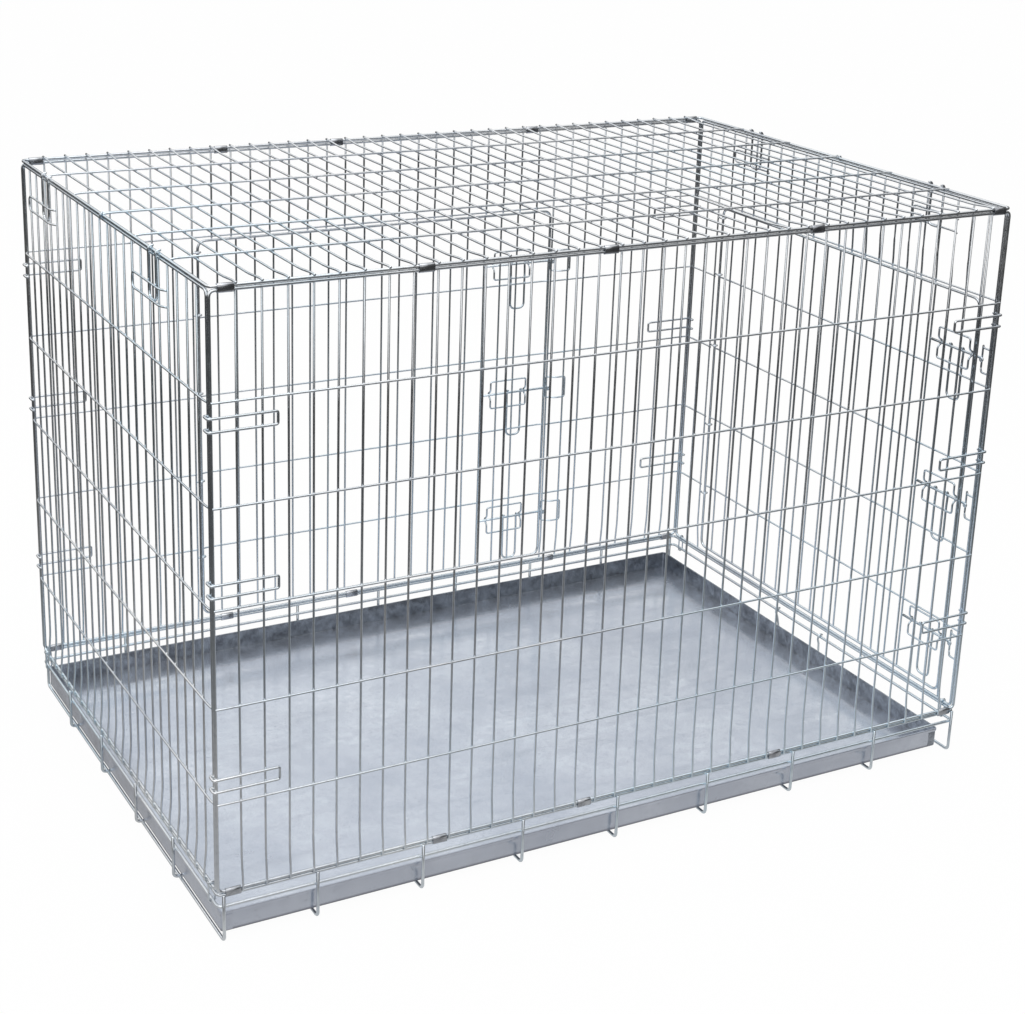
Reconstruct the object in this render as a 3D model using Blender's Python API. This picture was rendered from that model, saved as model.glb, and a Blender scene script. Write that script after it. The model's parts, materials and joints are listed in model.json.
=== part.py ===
"""Folding wire dog crate of galvanised steel, with a slide-out sheet tray, two doors and six bolts.

The crate stands on z = 0 and is centred on x = y = 0, with its long side along X. The plain long wall
is the front, at -Y. The back wall at +Y and the end wall at +X each hold a door. Sizes are in metres.
"""

import math

import bmesh
import bpy
from mathutils import Matrix, Vector

# Overall sizes
LENGTH = 1.220  # over the end frames
DEPTH = 0.800  # over the long frames
WALL_HEIGHT = 0.7925  # from the middle of a wall's bottom rail to the middle of its top rail

# Wires
FRAME_WIRE = 0.0045
MESH_WIRE = 0.0030
DOOR_WIRE = 0.0043
BOLT_WIRE = 0.0040
HOOK_WIRE = 0.0035
RING_WIRE = 0.0025
CLEARANCE = 0.0003  # between pieces that touch

# Panels
FRAME_CORNER = 0.008
LONG_GAPS = 37  # spaces between the columns of a long wall and of the top
END_GAPS = 23
ROW_PITCH = 0.167445 * WALL_HEIGHT
ROW_FIRST = 0.94951 * ROW_PITCH  # above the wall's bottom rail
ROW_COUNT = 5
TOP_ROW_COUNT = 5
ROW_DIP = 0.008  # length over which a row's end bends in to its weld
END_SIDE_GAP = 0.0019  # an end wall folds in between the long walls with this much room

# Base basket and tray
CROSS_WIRE_COUNT = 9
CROSS_FIRST_GAP = 0.130  # the gap at the left end is narrower than the others
CROSS_END_INSET = 0.006
LONG_WIRE_COUNT = 4
BASE_BEND = 0.006
BASE_RAIL_SPACING = 0.017
BASE_TIP = 0.002  # how far a turned-up wire stands above the middle of the upper rail
TRAY_HEIGHT = 0.0305
TRAY_SHEET = 0.0012
TRAY_HEM = 0.0026  # thickness of the rolled rim
TRAY_HEM_HEIGHT = 0.005
TRAY_CORNER = 0.006
TRAY_SIDE_GAP = 0.0035  # from the tray's rim in to the middle of the base rails
TRAY_LEFT_GAP = 0.004
TRAY_RIGHT_GAP = 0.023
TRAY_SLIDE_GAP = 0.008  # from the rim up to the lower rail, under which the tray slides out

# Doors
BACK_HINGE_COLUMN = 8
BACK_LATCH_COLUMN = 28
END_HINGE_COLUMN = 21
END_LATCH_COLUMN = 1
HINGE_OFFSET = 0.010  # from the wall's column to the door's hinge wire
LATCH_OVERLAP = 0.0034  # from the wall's column back to the door's latch wire
DOOR_FOOT = 0.008
DOOR_TOP_GAP = 0.0067  # from the door's top wire up to the row over it
DOOR_CORNER = 0.015
DOOR_COLUMN_GAPS = 20
EYE_HEIGHTS = [WALL_HEIGHT * share for share in (0.797476, 0.667508, 0.500946, 0.310410, 0.141325)]
EYE_SLACK = 0.0006

# Latches
GUIDE_HALF_WIDTH = 0.035
GUIDE_HALF_HEIGHT = 0.0245
BACK_LATCH_HEIGHTS = [WALL_HEIGHT * share for share in (0.706625, 0.411356, 0.112303)]
END_LATCH_HEIGHTS = [WALL_HEIGHT * share for share in (0.709148, 0.415142, 0.122397)]
BACK_GUIDE_OFFSET = 0.072  # from the door's latch wire to the middle of the guide
END_GUIDE_OFFSET = 0.048
BACK_HANDLE_OFFSET = 0.057
END_HANDLE_OFFSET = 0.046
BOLT_REACH = 0.013  # past the door's latch wire
BOLT_TAIL = 0.019  # past the far end of the guide
HANDLE_WIDTH = 0.027
HANDLE_DROP = 0.081
KEEPER_START = 0.0078  # past the door's latch wire
KEEPER_WIDTH = 0.034
KEEPER_HALF_HEIGHT = 0.019

# Hooks that hold the walls together
CORNER_HOOK_LENGTH = 0.084
CORNER_HOOK_SPAN = 0.017
CORNER_HOOK_HEIGHTS = [WALL_HEIGHT * share for share in (0.794322, 0.526183, 0.193691)]
TOP_HOOK_SPAN = 0.028
TOP_HOOK_DROP = 0.056
TOP_HOOK_WRAP = 115.0  # degrees of eye over the rail
TOP_HOOK_INSETS = {"left": (0.17935, 0.13135), "right": (0.15535, 0.16135)}  # from the end wall's posts
TOP_GUIDE_PITCHES = 3
TOP_GUIDE_DROPS = (0.0345, 0.0555)  # below the wall's top rail
TOP_GUIDE_END = 0.008

# Clips and rings, whose places count the spaces of the long walls from the left
CLIP_SHEET = 0.0009
CLIP_LENGTH = 0.021
CLIP_CORNER_PLACE = 0.62
CLIP_PLACES = {
    ("front", "top"): (8.5, 16.5, 26.5),
    ("back", "top"): (9.5, 15.5, 26.5),
    ("front", "bottom"): (9.6, 16.5, 26.5),
    ("back", "bottom"): (9.5, 16.5, 28.5),
}
RING_FROM_POST = 0.017

# Stop that keeps the tray in, hung from the right lower rail
STOP_HALF_WIDTH = 0.061
STOP_NARROWING = 0.004  # of each leg towards its foot
STOP_DROP = 0.034
STOP_EYE_START = 40.0  # degrees above the rail's outer side
STOP_LEAN = 0.0015  # how far the foot hangs outside the rail's middle

# Places worked out from the sizes above
FACE_X = (LENGTH - FRAME_WIRE) / 2
FACE_Y = (DEPTH - FRAME_WIRE) / 2
END_HALF = FACE_Y - FRAME_WIRE - END_SIDE_GAP
STACK = FRAME_WIRE + CLEARANCE  # one frame wire lying on another
CROSS_Z = FRAME_WIRE / 2 * math.cos(math.pi / 6)  # the wire's lowest facet lies on the floor
LONG_Z = CROSS_Z + STACK
TRAY_Z = LONG_Z + FRAME_WIRE / 2 + CLEARANCE
LOWER_RAIL_Z = TRAY_Z + TRAY_HEIGHT + TRAY_SLIDE_GAP + FRAME_WIRE / 2
UPPER_RAIL_Z = LOWER_RAIL_Z + BASE_RAIL_SPACING
WALL_FOOT_Z = UPPER_RAIL_Z + STACK
WALL_TOP_Z = WALL_FOOT_Z + WALL_HEIGHT
TOP_Z = WALL_TOP_Z + STACK
ROWS = [ROW_FIRST + ROW_PITCH * i for i in range(ROW_COUNT)]
LONG_PITCH = 2 * FACE_X / LONG_GAPS
END_PITCH = 2 * END_HALF / END_GAPS
TOP_HOOK_PLACES = {side: (near - END_HALF, END_HALF - far) for side, (near, far) in TOP_HOOK_INSETS.items()}

# Layers outwards from a panel's plane
ROW_OUT = MESH_WIRE + CLEARANCE
WELD_OUT = MESH_WIRE * 0.6  # an end that is welded to a frame or a column
DOOR_OUT = (MESH_WIRE + DOOR_WIRE) / 2 + CLEARANCE + 0.0001
DOOR_ROW_OUT = DOOR_OUT + ROW_OUT
BOLT_OUT = DOOR_OUT + (DOOR_WIRE + BOLT_WIRE) / 2 + CLEARANCE
GUIDE_OUT = DOOR_OUT + MESH_WIRE * 0.43
ARCH_OUT = BOLT_OUT + (BOLT_WIRE + MESH_WIRE) / 2 + 2 * CLEARANCE
HANDLE_OUT = DOOR_ROW_OUT + (MESH_WIRE + HOOK_WIRE) / 2 + 2 * CLEARANCE
HOOK_OUT = (MESH_WIRE + HOOK_WIRE) / 2 + CLEARANCE + 0.0001
LEG_OUT = (FRAME_WIRE + HOOK_WIRE) / 2 + CLEARANCE + 0.0002
TOP_GUIDE_OUT = LEG_OUT + (HOOK_WIRE + MESH_WIRE) / 2 + 0.0004


def clear_scene():
    """Remove what the startup scene holds."""
    for thing in list(bpy.data.objects):
        bpy.data.objects.remove(thing, do_unlink=True)


def metal(name, colour, roughness):
    """A plain metal finish."""
    finish = bpy.data.materials.new(name)
    finish.use_nodes = True
    shader = finish.node_tree.nodes["Principled BSDF"]
    shader.inputs["Base Color"].default_value = (*colour, 1.0)
    shader.inputs["Metallic"].default_value = 1.0
    shader.inputs["Roughness"].default_value = roughness
    return finish


def on(side, u, v, w=0.0):
    """A point of a panel: u along it, v up it (or across the top) and w outwards from its plane."""
    if side == "front":
        return Vector((u, -FACE_Y - w, WALL_FOOT_Z + v))
    if side == "back":
        return Vector((u, FACE_Y + w, WALL_FOOT_Z + v))
    if side == "left":
        return Vector((-FACE_X - w, u, WALL_FOOT_Z + v))
    if side == "right":
        return Vector((FACE_X + w, u, WALL_FOOT_Z + v))
    return Vector((u, v, TOP_Z + w))


def rounded(points, radius, steps=2, closed=False):
    """The same path with each corner turned on a curve that starts one radius before it."""
    points = [Vector(p) for p in points]
    count = len(points)
    path = []
    for i, corner in enumerate(points):
        if not closed and i in (0, count - 1):
            path.append(corner)
            continue
        before = points[i - 1] - corner
        after = points[(i + 1) % count] - corner
        start = corner + before.normalized() * min(radius, before.length * 0.49)
        end = corner + after.normalized() * min(radius, after.length * 0.49)
        for j in range(steps + 1):
            t = j / steps
            path.append(start * (1 - t) ** 2 + corner * 2 * t * (1 - t) + end * t**2)
    return path


def wires(paths, diameter, sides=4, closed=False, turn=0.0):
    """One mesh of round wires along the paths, each a closed tube whose facets are turned by some degrees."""
    curve = bpy.data.curves.new("wires", "CURVE")
    curve.dimensions = "3D"
    curve.bevel_depth = diameter / 2
    curve.bevel_resolution = (sides - 4) // 2
    curve.use_fill_caps = True
    for path in paths:
        spline = curve.splines.new("POLY")
        spline.points.add(len(path) - 1)
        for point, place in zip(spline.points, path):
            point.co = (*place, 1.0)
            point.tilt = math.radians(turn)
        spline.use_cyclic_u = closed
    holder = bpy.data.objects.new("wires", curve)
    bpy.context.scene.collection.objects.link(holder)
    graph = bpy.context.evaluated_depsgraph_get()
    mesh = bpy.data.meshes.new_from_object(holder.evaluated_get(graph))
    bpy.data.objects.remove(holder)
    shape = bmesh.new()
    shape.from_mesh(mesh)
    bmesh.ops.remove_doubles(shape, verts=shape.verts, dist=1e-6)
    bmesh.ops.recalc_face_normals(shape, faces=shape.faces)
    shape.to_mesh(mesh)
    shape.free()
    return mesh


def joined(meshes):
    """The Boolean union of meshes that overlap."""
    scene = bpy.context.scene.collection
    whole = bpy.data.objects.new("whole", meshes[0])
    scene.objects.link(whole)
    for mesh in meshes[1:]:
        piece = bpy.data.objects.new("piece", mesh)
        scene.objects.link(piece)
        weld = whole.modifiers.new("weld", "BOOLEAN")
        weld.operation = "UNION"
        weld.object = piece
        graph = bpy.context.evaluated_depsgraph_get()
        whole.data = bpy.data.meshes.new_from_object(whole.evaluated_get(graph))
        whole.modifiers.clear()
        bpy.data.objects.remove(piece)
    mesh = whole.data
    bpy.data.objects.remove(whole)
    return mesh


def add_piece(name, mesh, finish, origin=(0.0, 0.0, 0.0), parent=None):
    """A named piece with its origin at a world point, carried by its parent."""
    origin = Vector(origin)
    mesh.name = name
    mesh.transform(Matrix.Translation(-origin))
    mesh.materials.clear()
    mesh.materials.append(finish)
    mesh.shade_smooth()
    mesh.set_sharp_from_angle(angle=math.radians(50))
    piece = bpy.data.objects.new(name, mesh)
    bpy.context.scene.collection.objects.link(piece)
    piece.location = origin
    if parent:
        piece.parent = parent
        piece.location = origin - Vector(parent["origin"])
    piece["origin"] = tuple(origin)
    return piece


def frame_loop(side, low_u, high_u, low_v, high_v, out=0.0, corner=FRAME_CORNER):
    """A closed rectangle of wire with rounded corners."""
    corners = ((low_u, low_v), (high_u, low_v), (high_u, high_v), (low_u, high_v))
    return rounded([on(side, u, v, out) for u, v in corners], corner, 2, closed=True)


def row(side, start, end, v, out=ROW_OUT, weld=WELD_OUT):
    """A wire across the outside of the columns, whose ends bend in to their welds."""
    dip = math.copysign(ROW_DIP, end - start)
    ends = ((start, weld), (start + dip, out), (end - dip, out), (end, weld))
    return [on(side, u, v, w) for u, w in ends]


def columns(side, half, gaps, low, high, doorway=None):
    """The upright wires. Over a doorway they are short and bend out to the row they are welded to."""
    pitch = 2 * half / gaps
    paths = []
    for i in range(1, gaps):
        u = -half + pitch * i
        if doorway and doorway[0] < i < doorway[1]:
            foot = ROWS[-1]
            paths.append([on(side, u, foot, WELD_OUT), on(side, u, foot + ROW_DIP), on(side, u, high)])
        else:
            paths.append([on(side, u, low), on(side, u, high)])
    return paths


def wall_rows(side, half, gaps, doorway=None):
    """The rows of a wall. Those that meet the doorway stop at the columns beside it."""
    pitch = 2 * half / gaps
    paths = []
    for v in ROWS:
        if doorway and v < ROWS[-1]:
            paths.append(row(side, -half, -half + pitch * doorway[0], v))
            paths.append(row(side, half, -half + pitch * doorway[1], v))
        else:
            paths.append(row(side, -half, half, v))
    return paths


def corner_hooks(side):
    """Long loops at both ends of a long wall, whose ends hook over the post of the end wall."""
    paths = []
    past = FACE_X + LEG_OUT
    tip = END_HALF - MESH_WIRE - FACE_Y
    for end in (-1, 1):
        for height in CORNER_HOOK_HEIGHTS:
            half = CORNER_HOOK_SPAN / 2
            places = (
                (past, half, tip),
                (past, half, HOOK_OUT),
                (FACE_X - ROW_DIP, half, HOOK_OUT),
                (FACE_X - CORNER_HOOK_LENGTH, half, HOOK_OUT),
                (FACE_X - CORNER_HOOK_LENGTH, -half, HOOK_OUT),
                (FACE_X - ROW_DIP, -half, HOOK_OUT),
                (past, -half, HOOK_OUT),
                (past, -half, tip),
            )
            dips = [w if i not in (1, 6) else WELD_OUT for i, (u, v, w) in enumerate(places)]
            points = [on(side, end * p[0], height + p[1], w) for p, w in zip(places, dips)]
            paths.append(rounded(points, 0.0035, 1))
    return paths


def top_guides(side):
    """Flat springy loops on an end wall that trap the top panel's hooks."""
    paths = []
    for place in TOP_HOOK_PLACES[side]:
        first = math.floor((place + END_HALF) / END_PITCH) - 1
        start = -END_HALF + END_PITCH * first
        end = start + END_PITCH * TOP_GUIDE_PITCHES + TOP_GUIDE_END
        high, low = (WALL_HEIGHT - drop for drop in TOP_GUIDE_DROPS)
        points = [
            on(side, start, high, WELD_OUT / 2),
            on(side, start + ROW_DIP, high, TOP_GUIDE_OUT),
            on(side, end, high, TOP_GUIDE_OUT),
            on(side, end, low, TOP_GUIDE_OUT),
            on(side, start + ROW_DIP, low, TOP_GUIDE_OUT),
            on(side, start, low, WELD_OUT / 2),
        ]
        paths.append(rounded(points, 0.006))
    return paths


def hinge_eyes(side, column, hinge):
    """Loops from the wall's column round the door's hinge wire."""
    away = math.copysign(1.0, hinge - column)
    radius = (DOOR_WIRE + MESH_WIRE) / 2 + EYE_SLACK
    paths = []
    for height in EYE_HEIGHTS:
        path = [on(side, column, height, WELD_OUT / 4)]
        for i in range(7):
            angle = math.radians(-90 + 42 * i)
            u = hinge + away * radius * math.cos(angle)
            path.append(on(side, u, height, DOOR_OUT + radius * math.sin(angle)))
        paths.append(path)
    return paths


def keepers(side, latch, away, width, heights):
    """Loops on the wall that stand out beside the doorway, for the bolts to slide behind."""
    near = latch + away * KEEPER_START
    far = near + away * width
    paths = []
    for height in heights:
        points = [
            on(side, near, height + KEEPER_HALF_HEIGHT, ARCH_OUT),
            on(side, near + (far - near) * 0.45, height + KEEPER_HALF_HEIGHT, WELD_OUT),
            on(side, far, height + KEEPER_HALF_HEIGHT, WELD_OUT),
            on(side, far, height - KEEPER_HALF_HEIGHT, WELD_OUT),
            on(side, near + (far - near) * 0.45, height - KEEPER_HALF_HEIGHT, WELD_OUT),
            on(side, near, height - KEEPER_HALF_HEIGHT, ARCH_OUT),
        ]
        paths.append(rounded(points, 0.004, 1, closed=True))
    return paths


def bolt_guide(side, centre, height):
    """A rectangle of wire on the door's columns, whose two ends arch out over the bolt."""
    arch = BOLT_WIRE / 2 + MESH_WIRE / 2 + 0.0008
    rise = [(GUIDE_HALF_HEIGHT, GUIDE_OUT), (2 * arch, GUIDE_OUT), (arch, BOLT_OUT)]
    rise.append((arch * 0.7, ARCH_OUT))
    profile = rise + [(-v, w) for v, w in reversed(rise)]
    points = []
    for end, ordered in ((1, profile), (-1, profile[::-1])):
        points += [on(side, centre + end * GUIDE_HALF_WIDTH, height + v, w) for v, w in ordered]
    return points


def wall(name, side, half, gaps, doorway=None, fittings=()):
    """A wire panel with its frame, its upright columns, its rows and what is welded to it."""
    parts = [
        wires([frame_loop(side, -half, half, 0.0, WALL_HEIGHT)], FRAME_WIRE, 6, closed=True),
        wires(columns(side, half, gaps, 0.0, WALL_HEIGHT, doorway), MESH_WIRE),
        wires(wall_rows(side, half, gaps, doorway), MESH_WIRE),
    ]
    return joined(parts + list(fittings))


def top_panel():
    """The roof: columns across it, and rows along it that lie on top of them."""
    spread = [2 * FACE_Y * (i + 1) / (TOP_ROW_COUNT + 1) - FACE_Y for i in range(TOP_ROW_COUNT)]
    loop = frame_loop("top", -FACE_X, FACE_X, -FACE_Y, FACE_Y)
    return joined([
        wires([loop], FRAME_WIRE, 6, closed=True, turn=30),
        wires(columns("top", FACE_X, LONG_GAPS, -FACE_Y, FACE_Y), MESH_WIRE),
        wires([row("top", -FACE_X, FACE_X, v) for v in spread], MESH_WIRE),
    ])


def door(side, hinge, latch, guide_offset, latch_heights):
    """A wire door outside the plane of its wall, with three guides for its bolts."""
    top = ROWS[-1] - DOOR_TOP_GAP
    pitch = (latch - hinge) / DOOR_COLUMN_GAPS
    uprights = [hinge + pitch * i for i in range(1, DOOR_COLUMN_GAPS)]
    centre = latch - math.copysign(guide_offset, latch - hinge)
    loop = frame_loop(side, hinge, latch, DOOR_FOOT, top, DOOR_OUT, DOOR_CORNER)
    weld = DOOR_OUT + MESH_WIRE / 4
    return joined([
        wires([loop], DOOR_WIRE, 6, closed=True),
        wires([[on(side, u, v, DOOR_OUT) for v in (DOOR_FOOT, top)] for u in uprights], MESH_WIRE, turn=45),
        wires([row(side, hinge, latch, v, DOOR_ROW_OUT, weld) for v in ROWS[:-1]], MESH_WIRE),
        wires([bolt_guide(side, centre, v) for v in latch_heights], MESH_WIRE, closed=True),
    ])


def bolt(side, latch, away, guide_offset, handle_offset, height):
    """A sliding bolt with its drop handle."""
    tip = latch + away * BOLT_REACH
    tail = latch - away * (guide_offset + GUIDE_HALF_WIDTH + BOLT_TAIL)
    middle = latch - away * handle_offset
    half = HANDLE_WIDTH / 2
    drop = [(0.0, BOLT_OUT), (0.028, HANDLE_OUT), (HANDLE_DROP, HANDLE_OUT)]
    left = [on(side, middle - half, height - v, w) for v, w in drop]
    right = [on(side, middle + half, height - v, w) for v, w in reversed(drop)]
    rod = [on(side, tail, height, BOLT_OUT), on(side, tip, height, BOLT_OUT)]
    return joined([
        wires([rod], BOLT_WIRE, 6),
        wires([rounded(left + right, 0.010)], HOOK_WIRE),
    ])


def top_hook(side, place):
    """A U-shaped hook with an open eye at the top of each leg, hung on the top panel's end rail."""
    top = TOP_Z - WALL_FOOT_Z
    steps = 4
    turns = [math.radians(TOP_HOOK_WRAP * (1 - i / steps)) for i in range(steps + 1)]
    eye = [(top + LEG_OUT * math.sin(a), LEG_OUT * math.cos(a)) for a in turns]
    half = TOP_HOOK_SPAN / 2
    leg = eye + [(WALL_HEIGHT - TOP_HOOK_DROP, LEG_OUT)]
    near = [on(side, place - half, v, w) for v, w in leg]
    far = [on(side, place + half, v, w) for v, w in reversed(leg)]
    bend = rounded([near[-2], near[-1], far[0], far[1]], 0.010)
    return wires([near[:-2] + bend + far[2:]], HOOK_WIRE)


def around_two(low, high, radius, steps):
    """Points round two circles that lie one above the other, as (across, height)."""
    turns = [math.pi * i / steps for i in range(steps + 1)]
    over = [(radius * math.cos(a), high + radius * math.sin(a)) for a in turns]
    under = [(-radius * math.cos(a), low - radius * math.sin(a)) for a in turns]
    return over + under


def clip(side, edge, place):
    """A strap of sheet metal bent round two rails that lie one on the other."""
    low, high = (UPPER_RAIL_Z, WALL_FOOT_Z) if edge == "bottom" else (WALL_TOP_Z, TOP_Z)
    inner = (FRAME_WIRE / 2 + CLEARANCE) / math.cos(math.pi / 8)  # the facets clear the rails
    x = -FACE_X + LONG_PITCH * place
    y = -FACE_Y if side == "front" else FACE_Y
    shape = bmesh.new()
    loops = []
    for end, radius in ((-1, inner), (-1, inner + CLIP_SHEET), (1, inner + CLIP_SHEET), (1, inner)):
        ring = around_two(low, high, radius, 4)
        loops.append([shape.verts.new((x + end * CLIP_LENGTH / 2, y + a, z)) for a, z in ring])
    count = len(loops[0])
    for i in range(4):
        first, second = loops[i], loops[(i + 1) % 4]
        for j in range(count):
            k = (j + 1) % count
            shape.faces.new((first[j], first[k], second[k], second[j]))
    bmesh.ops.recalc_face_normals(shape, faces=shape.faces)
    mesh = bpy.data.meshes.new("clip")
    shape.to_mesh(mesh)
    shape.free()
    return mesh


def wall_ring(side, end):
    """A long wire link round both base rails and an end wall's bottom rail, which turns in it."""
    x = -FACE_X if side == "left" else FACE_X
    y = end * (END_HALF - RING_FROM_POST)
    radius = (FRAME_WIRE + RING_WIRE) / 2 + 2 * CLEARANCE
    ring = around_two(LOWER_RAIL_Z, WALL_FOOT_Z, radius, 4)
    return wires([[Vector((x + a, y, z)) for a, z in ring]], RING_WIRE, closed=True)


def tray_stop():
    """A U-shaped wire with an open eye over the rail at each leg. It hangs in front of the tray."""
    steps = 4
    turns = [math.radians(STOP_EYE_START + (180.0 - STOP_EYE_START) * i / steps) for i in range(steps + 1)]
    leg = [(LEG_OUT * math.cos(a), LEG_OUT * math.sin(a)) for a in turns]
    leg += [(-LEG_OUT, -0.12 * STOP_DROP), (-STOP_LEAN, -0.36 * STOP_DROP), (STOP_LEAN, -STOP_DROP)]
    sides = []
    for end in (-1, 1):
        places = [end * (STOP_HALF_WIDTH + min(h, 0.0) / STOP_DROP * STOP_NARROWING) for a, h in leg]
        sides.append([Vector((FACE_X + a, y, LOWER_RAIL_Z + h)) for (a, h), y in zip(leg, places)])
    near, far = sides
    bend = rounded([near[-2], near[-1], far[-1], far[-2]], 0.008)
    return wires([near[:-2] + bend + far[-3::-1]], HOOK_WIRE)


def base_rail(height):
    """A closed rail round the base."""
    corners = ((-FACE_X, -FACE_Y), (FACE_X, -FACE_Y), (FACE_X, FACE_Y), (-FACE_X, FACE_Y))
    loop = rounded([(x, y, height) for x, y in corners], FRAME_CORNER, 2, closed=True)
    return wires([loop], FRAME_WIRE, 6, closed=True)


def cross_wire(x):
    """A U-shaped wire under the tray, turned up outside the long rails."""
    y = FACE_Y + STACK
    top = UPPER_RAIL_Z + BASE_TIP
    points = [(x, -y, top), (x, -y, CROSS_Z), (x, y, CROSS_Z), (x, y, top)]
    return wires([rounded(points, BASE_BEND)], FRAME_WIRE, 6)


def long_wire(y):
    """A wire along the base on the cross wires, turned up outside the left rail only."""
    left = -FACE_X - STACK
    right = FACE_X - CROSS_END_INSET + FRAME_WIRE
    points = [(left, y, UPPER_RAIL_Z + BASE_TIP), (left, y, LONG_Z), (right, y, LONG_Z)]
    return wires([rounded(points, BASE_BEND)], FRAME_WIRE, 6)


def tray():
    """An open sheet tray with a hemmed rim."""
    left, right = -FACE_X + TRAY_LEFT_GAP, FACE_X - TRAY_RIGHT_GAP
    half = FACE_Y - TRAY_SIDE_GAP
    skin = TRAY_HEM - TRAY_SHEET
    rim = TRAY_HEIGHT - TRAY_HEM_HEIGHT
    sections = (
        (skin, 0.0),
        (skin, rim),
        (0.0, rim + skin / 2),
        (0.0, TRAY_HEIGHT),
        (TRAY_HEM, TRAY_HEIGHT),
        (TRAY_HEM, TRAY_SHEET),
    )
    shape = bmesh.new()
    loops = []
    for inset, height in sections:
        x0, x1, y1 = left + inset, right - inset, half - inset
        z = TRAY_Z + height
        corners = ((x0, -y1, z), (x1, -y1, z), (x1, y1, z), (x0, y1, z))
        path = rounded(corners, max(TRAY_CORNER - inset, 0.002), 2, closed=True)
        loops.append([shape.verts.new(p) for p in path])
    count = len(loops[0])
    for first, second in zip(loops, loops[1:]):
        for j in range(count):
            k = (j + 1) % count
            shape.faces.new((first[j], first[k], second[k], second[j]))
    shape.faces.new(reversed(loops[0]))
    shape.faces.new(loops[-1])
    bmesh.ops.recalc_face_normals(shape, faces=shape.faces)
    mesh = bpy.data.meshes.new("tray")
    shape.to_mesh(mesh)
    shape.free()
    return mesh


def build_base(zinc, sheet):
    add_piece("base_lower_rail", base_rail(LOWER_RAIL_Z), zinc)
    add_piece("base_upper_rail", base_rail(UPPER_RAIL_Z), zinc)
    first = -FACE_X + CROSS_END_INSET
    second = first + CROSS_FIRST_GAP
    pitch = (FACE_X - CROSS_END_INSET - second) / (CROSS_WIRE_COUNT - 2)
    places = [first] + [second + pitch * i for i in range(CROSS_WIRE_COUNT - 1)]
    for i, x in enumerate(places, 1):
        add_piece(f"base_cross_wire_{i}", cross_wire(x), zinc)
    for i in range(1, LONG_WIRE_COUNT + 1):
        y = 2 * FACE_Y * i / (LONG_WIRE_COUNT + 1) - FACE_Y
        add_piece(f"base_long_wire_{i}", long_wire(y), zinc)
    add_piece("tray", tray(), sheet, (0.0, 0.0, TRAY_Z))


def build_back(zinc, bolt_finish):
    side = "back"
    column = -FACE_X + LONG_PITCH * BACK_HINGE_COLUMN
    hinge = column + HINGE_OFFSET
    latch = -FACE_X + LONG_PITCH * BACK_LATCH_COLUMN - LATCH_OVERLAP
    fittings = [
        wires(corner_hooks(side), HOOK_WIRE),
        wires(hinge_eyes(side, column, hinge), MESH_WIRE),
        wires(keepers(side, latch, 1, KEEPER_WIDTH, BACK_LATCH_HEIGHTS), MESH_WIRE, closed=True),
    ]
    doorway = (BACK_HINGE_COLUMN, BACK_LATCH_COLUMN)
    add_piece("back_wall", wall("back_wall", side, FACE_X, LONG_GAPS, doorway, fittings), zinc)
    axis = on(side, hinge, 0.0, DOOR_OUT)
    mesh = door(side, hinge, latch, BACK_GUIDE_OFFSET, BACK_LATCH_HEIGHTS)
    panel = add_piece("back_door", mesh, zinc, axis)
    for i, height in enumerate(BACK_LATCH_HEIGHTS, 1):
        mesh = bolt(side, latch, 1, BACK_GUIDE_OFFSET, BACK_HANDLE_OFFSET, height)
        add_piece(f"back_door_bolt_{i}", mesh, bolt_finish, on(side, latch, height, BOLT_OUT), panel)


def build_ends(zinc, bolt_finish):
    foot = WALL_FOOT_Z
    fittings = [wires(top_guides("left"), MESH_WIRE)]
    mesh = wall("left_end_wall", "left", END_HALF, END_GAPS, None, fittings)
    add_piece("left_end_wall", mesh, zinc, (-FACE_X, 0.0, foot))
    side = "right"
    column = -END_HALF + END_PITCH * END_HINGE_COLUMN
    hinge = column - HINGE_OFFSET
    latch = -END_HALF + END_PITCH * END_LATCH_COLUMN + LATCH_OVERLAP
    width = latch - KEEPER_START + END_HALF - MESH_WIRE / 2
    fittings = [
        wires(top_guides(side), MESH_WIRE),
        wires(hinge_eyes(side, column, hinge), MESH_WIRE),
        wires(keepers(side, latch, -1, width, END_LATCH_HEIGHTS), MESH_WIRE, closed=True),
    ]
    doorway = (END_LATCH_COLUMN, END_HINGE_COLUMN)
    mesh = wall("right_end_wall", side, END_HALF, END_GAPS, doorway, fittings)
    carrier = add_piece("right_end_wall", mesh, zinc, (FACE_X, 0.0, foot))
    axis = on(side, hinge, 0.0, DOOR_OUT)
    mesh = door(side, hinge, latch, END_GUIDE_OFFSET, END_LATCH_HEIGHTS)
    panel = add_piece("end_door", mesh, zinc, axis, carrier)
    for i, height in enumerate(END_LATCH_HEIGHTS, 1):
        mesh = bolt(side, latch, -1, END_GUIDE_OFFSET, END_HANDLE_OFFSET, height)
        add_piece(f"end_door_bolt_{i}", mesh, bolt_finish, on(side, latch, height, BOLT_OUT), panel)


def build_top(zinc, bolt_finish):
    roof = add_piece("top_panel", top_panel(), zinc, (0.0, 0.0, TOP_Z))
    for side, places in TOP_HOOK_PLACES.items():
        for word, place in zip(("front", "rear"), places):
            axis = (FACE_X if side == "right" else -FACE_X, place, TOP_Z)
            add_piece(f"top_hook_{side}_{word}", top_hook(side, place), bolt_finish, axis, roof)


def build_clips(bright):
    for (side, edge), middle in CLIP_PLACES.items():
        places = (CLIP_CORNER_PLACE, *middle, LONG_GAPS - CLIP_CORNER_PLACE)
        for i, place in enumerate(places, 1):
            add_piece(f"clip_{side}_{edge}_{i}", clip(side, edge, place), bright)
    for side in ("left", "right"):
        for word, end in (("front", -1), ("rear", 1)):
            add_piece(f"wall_ring_{side}_{word}", wall_ring(side, end), bright)
    add_piece("tray_stop", tray_stop(), bright, (FACE_X, 0.0, LOWER_RAIL_Z))


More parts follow.
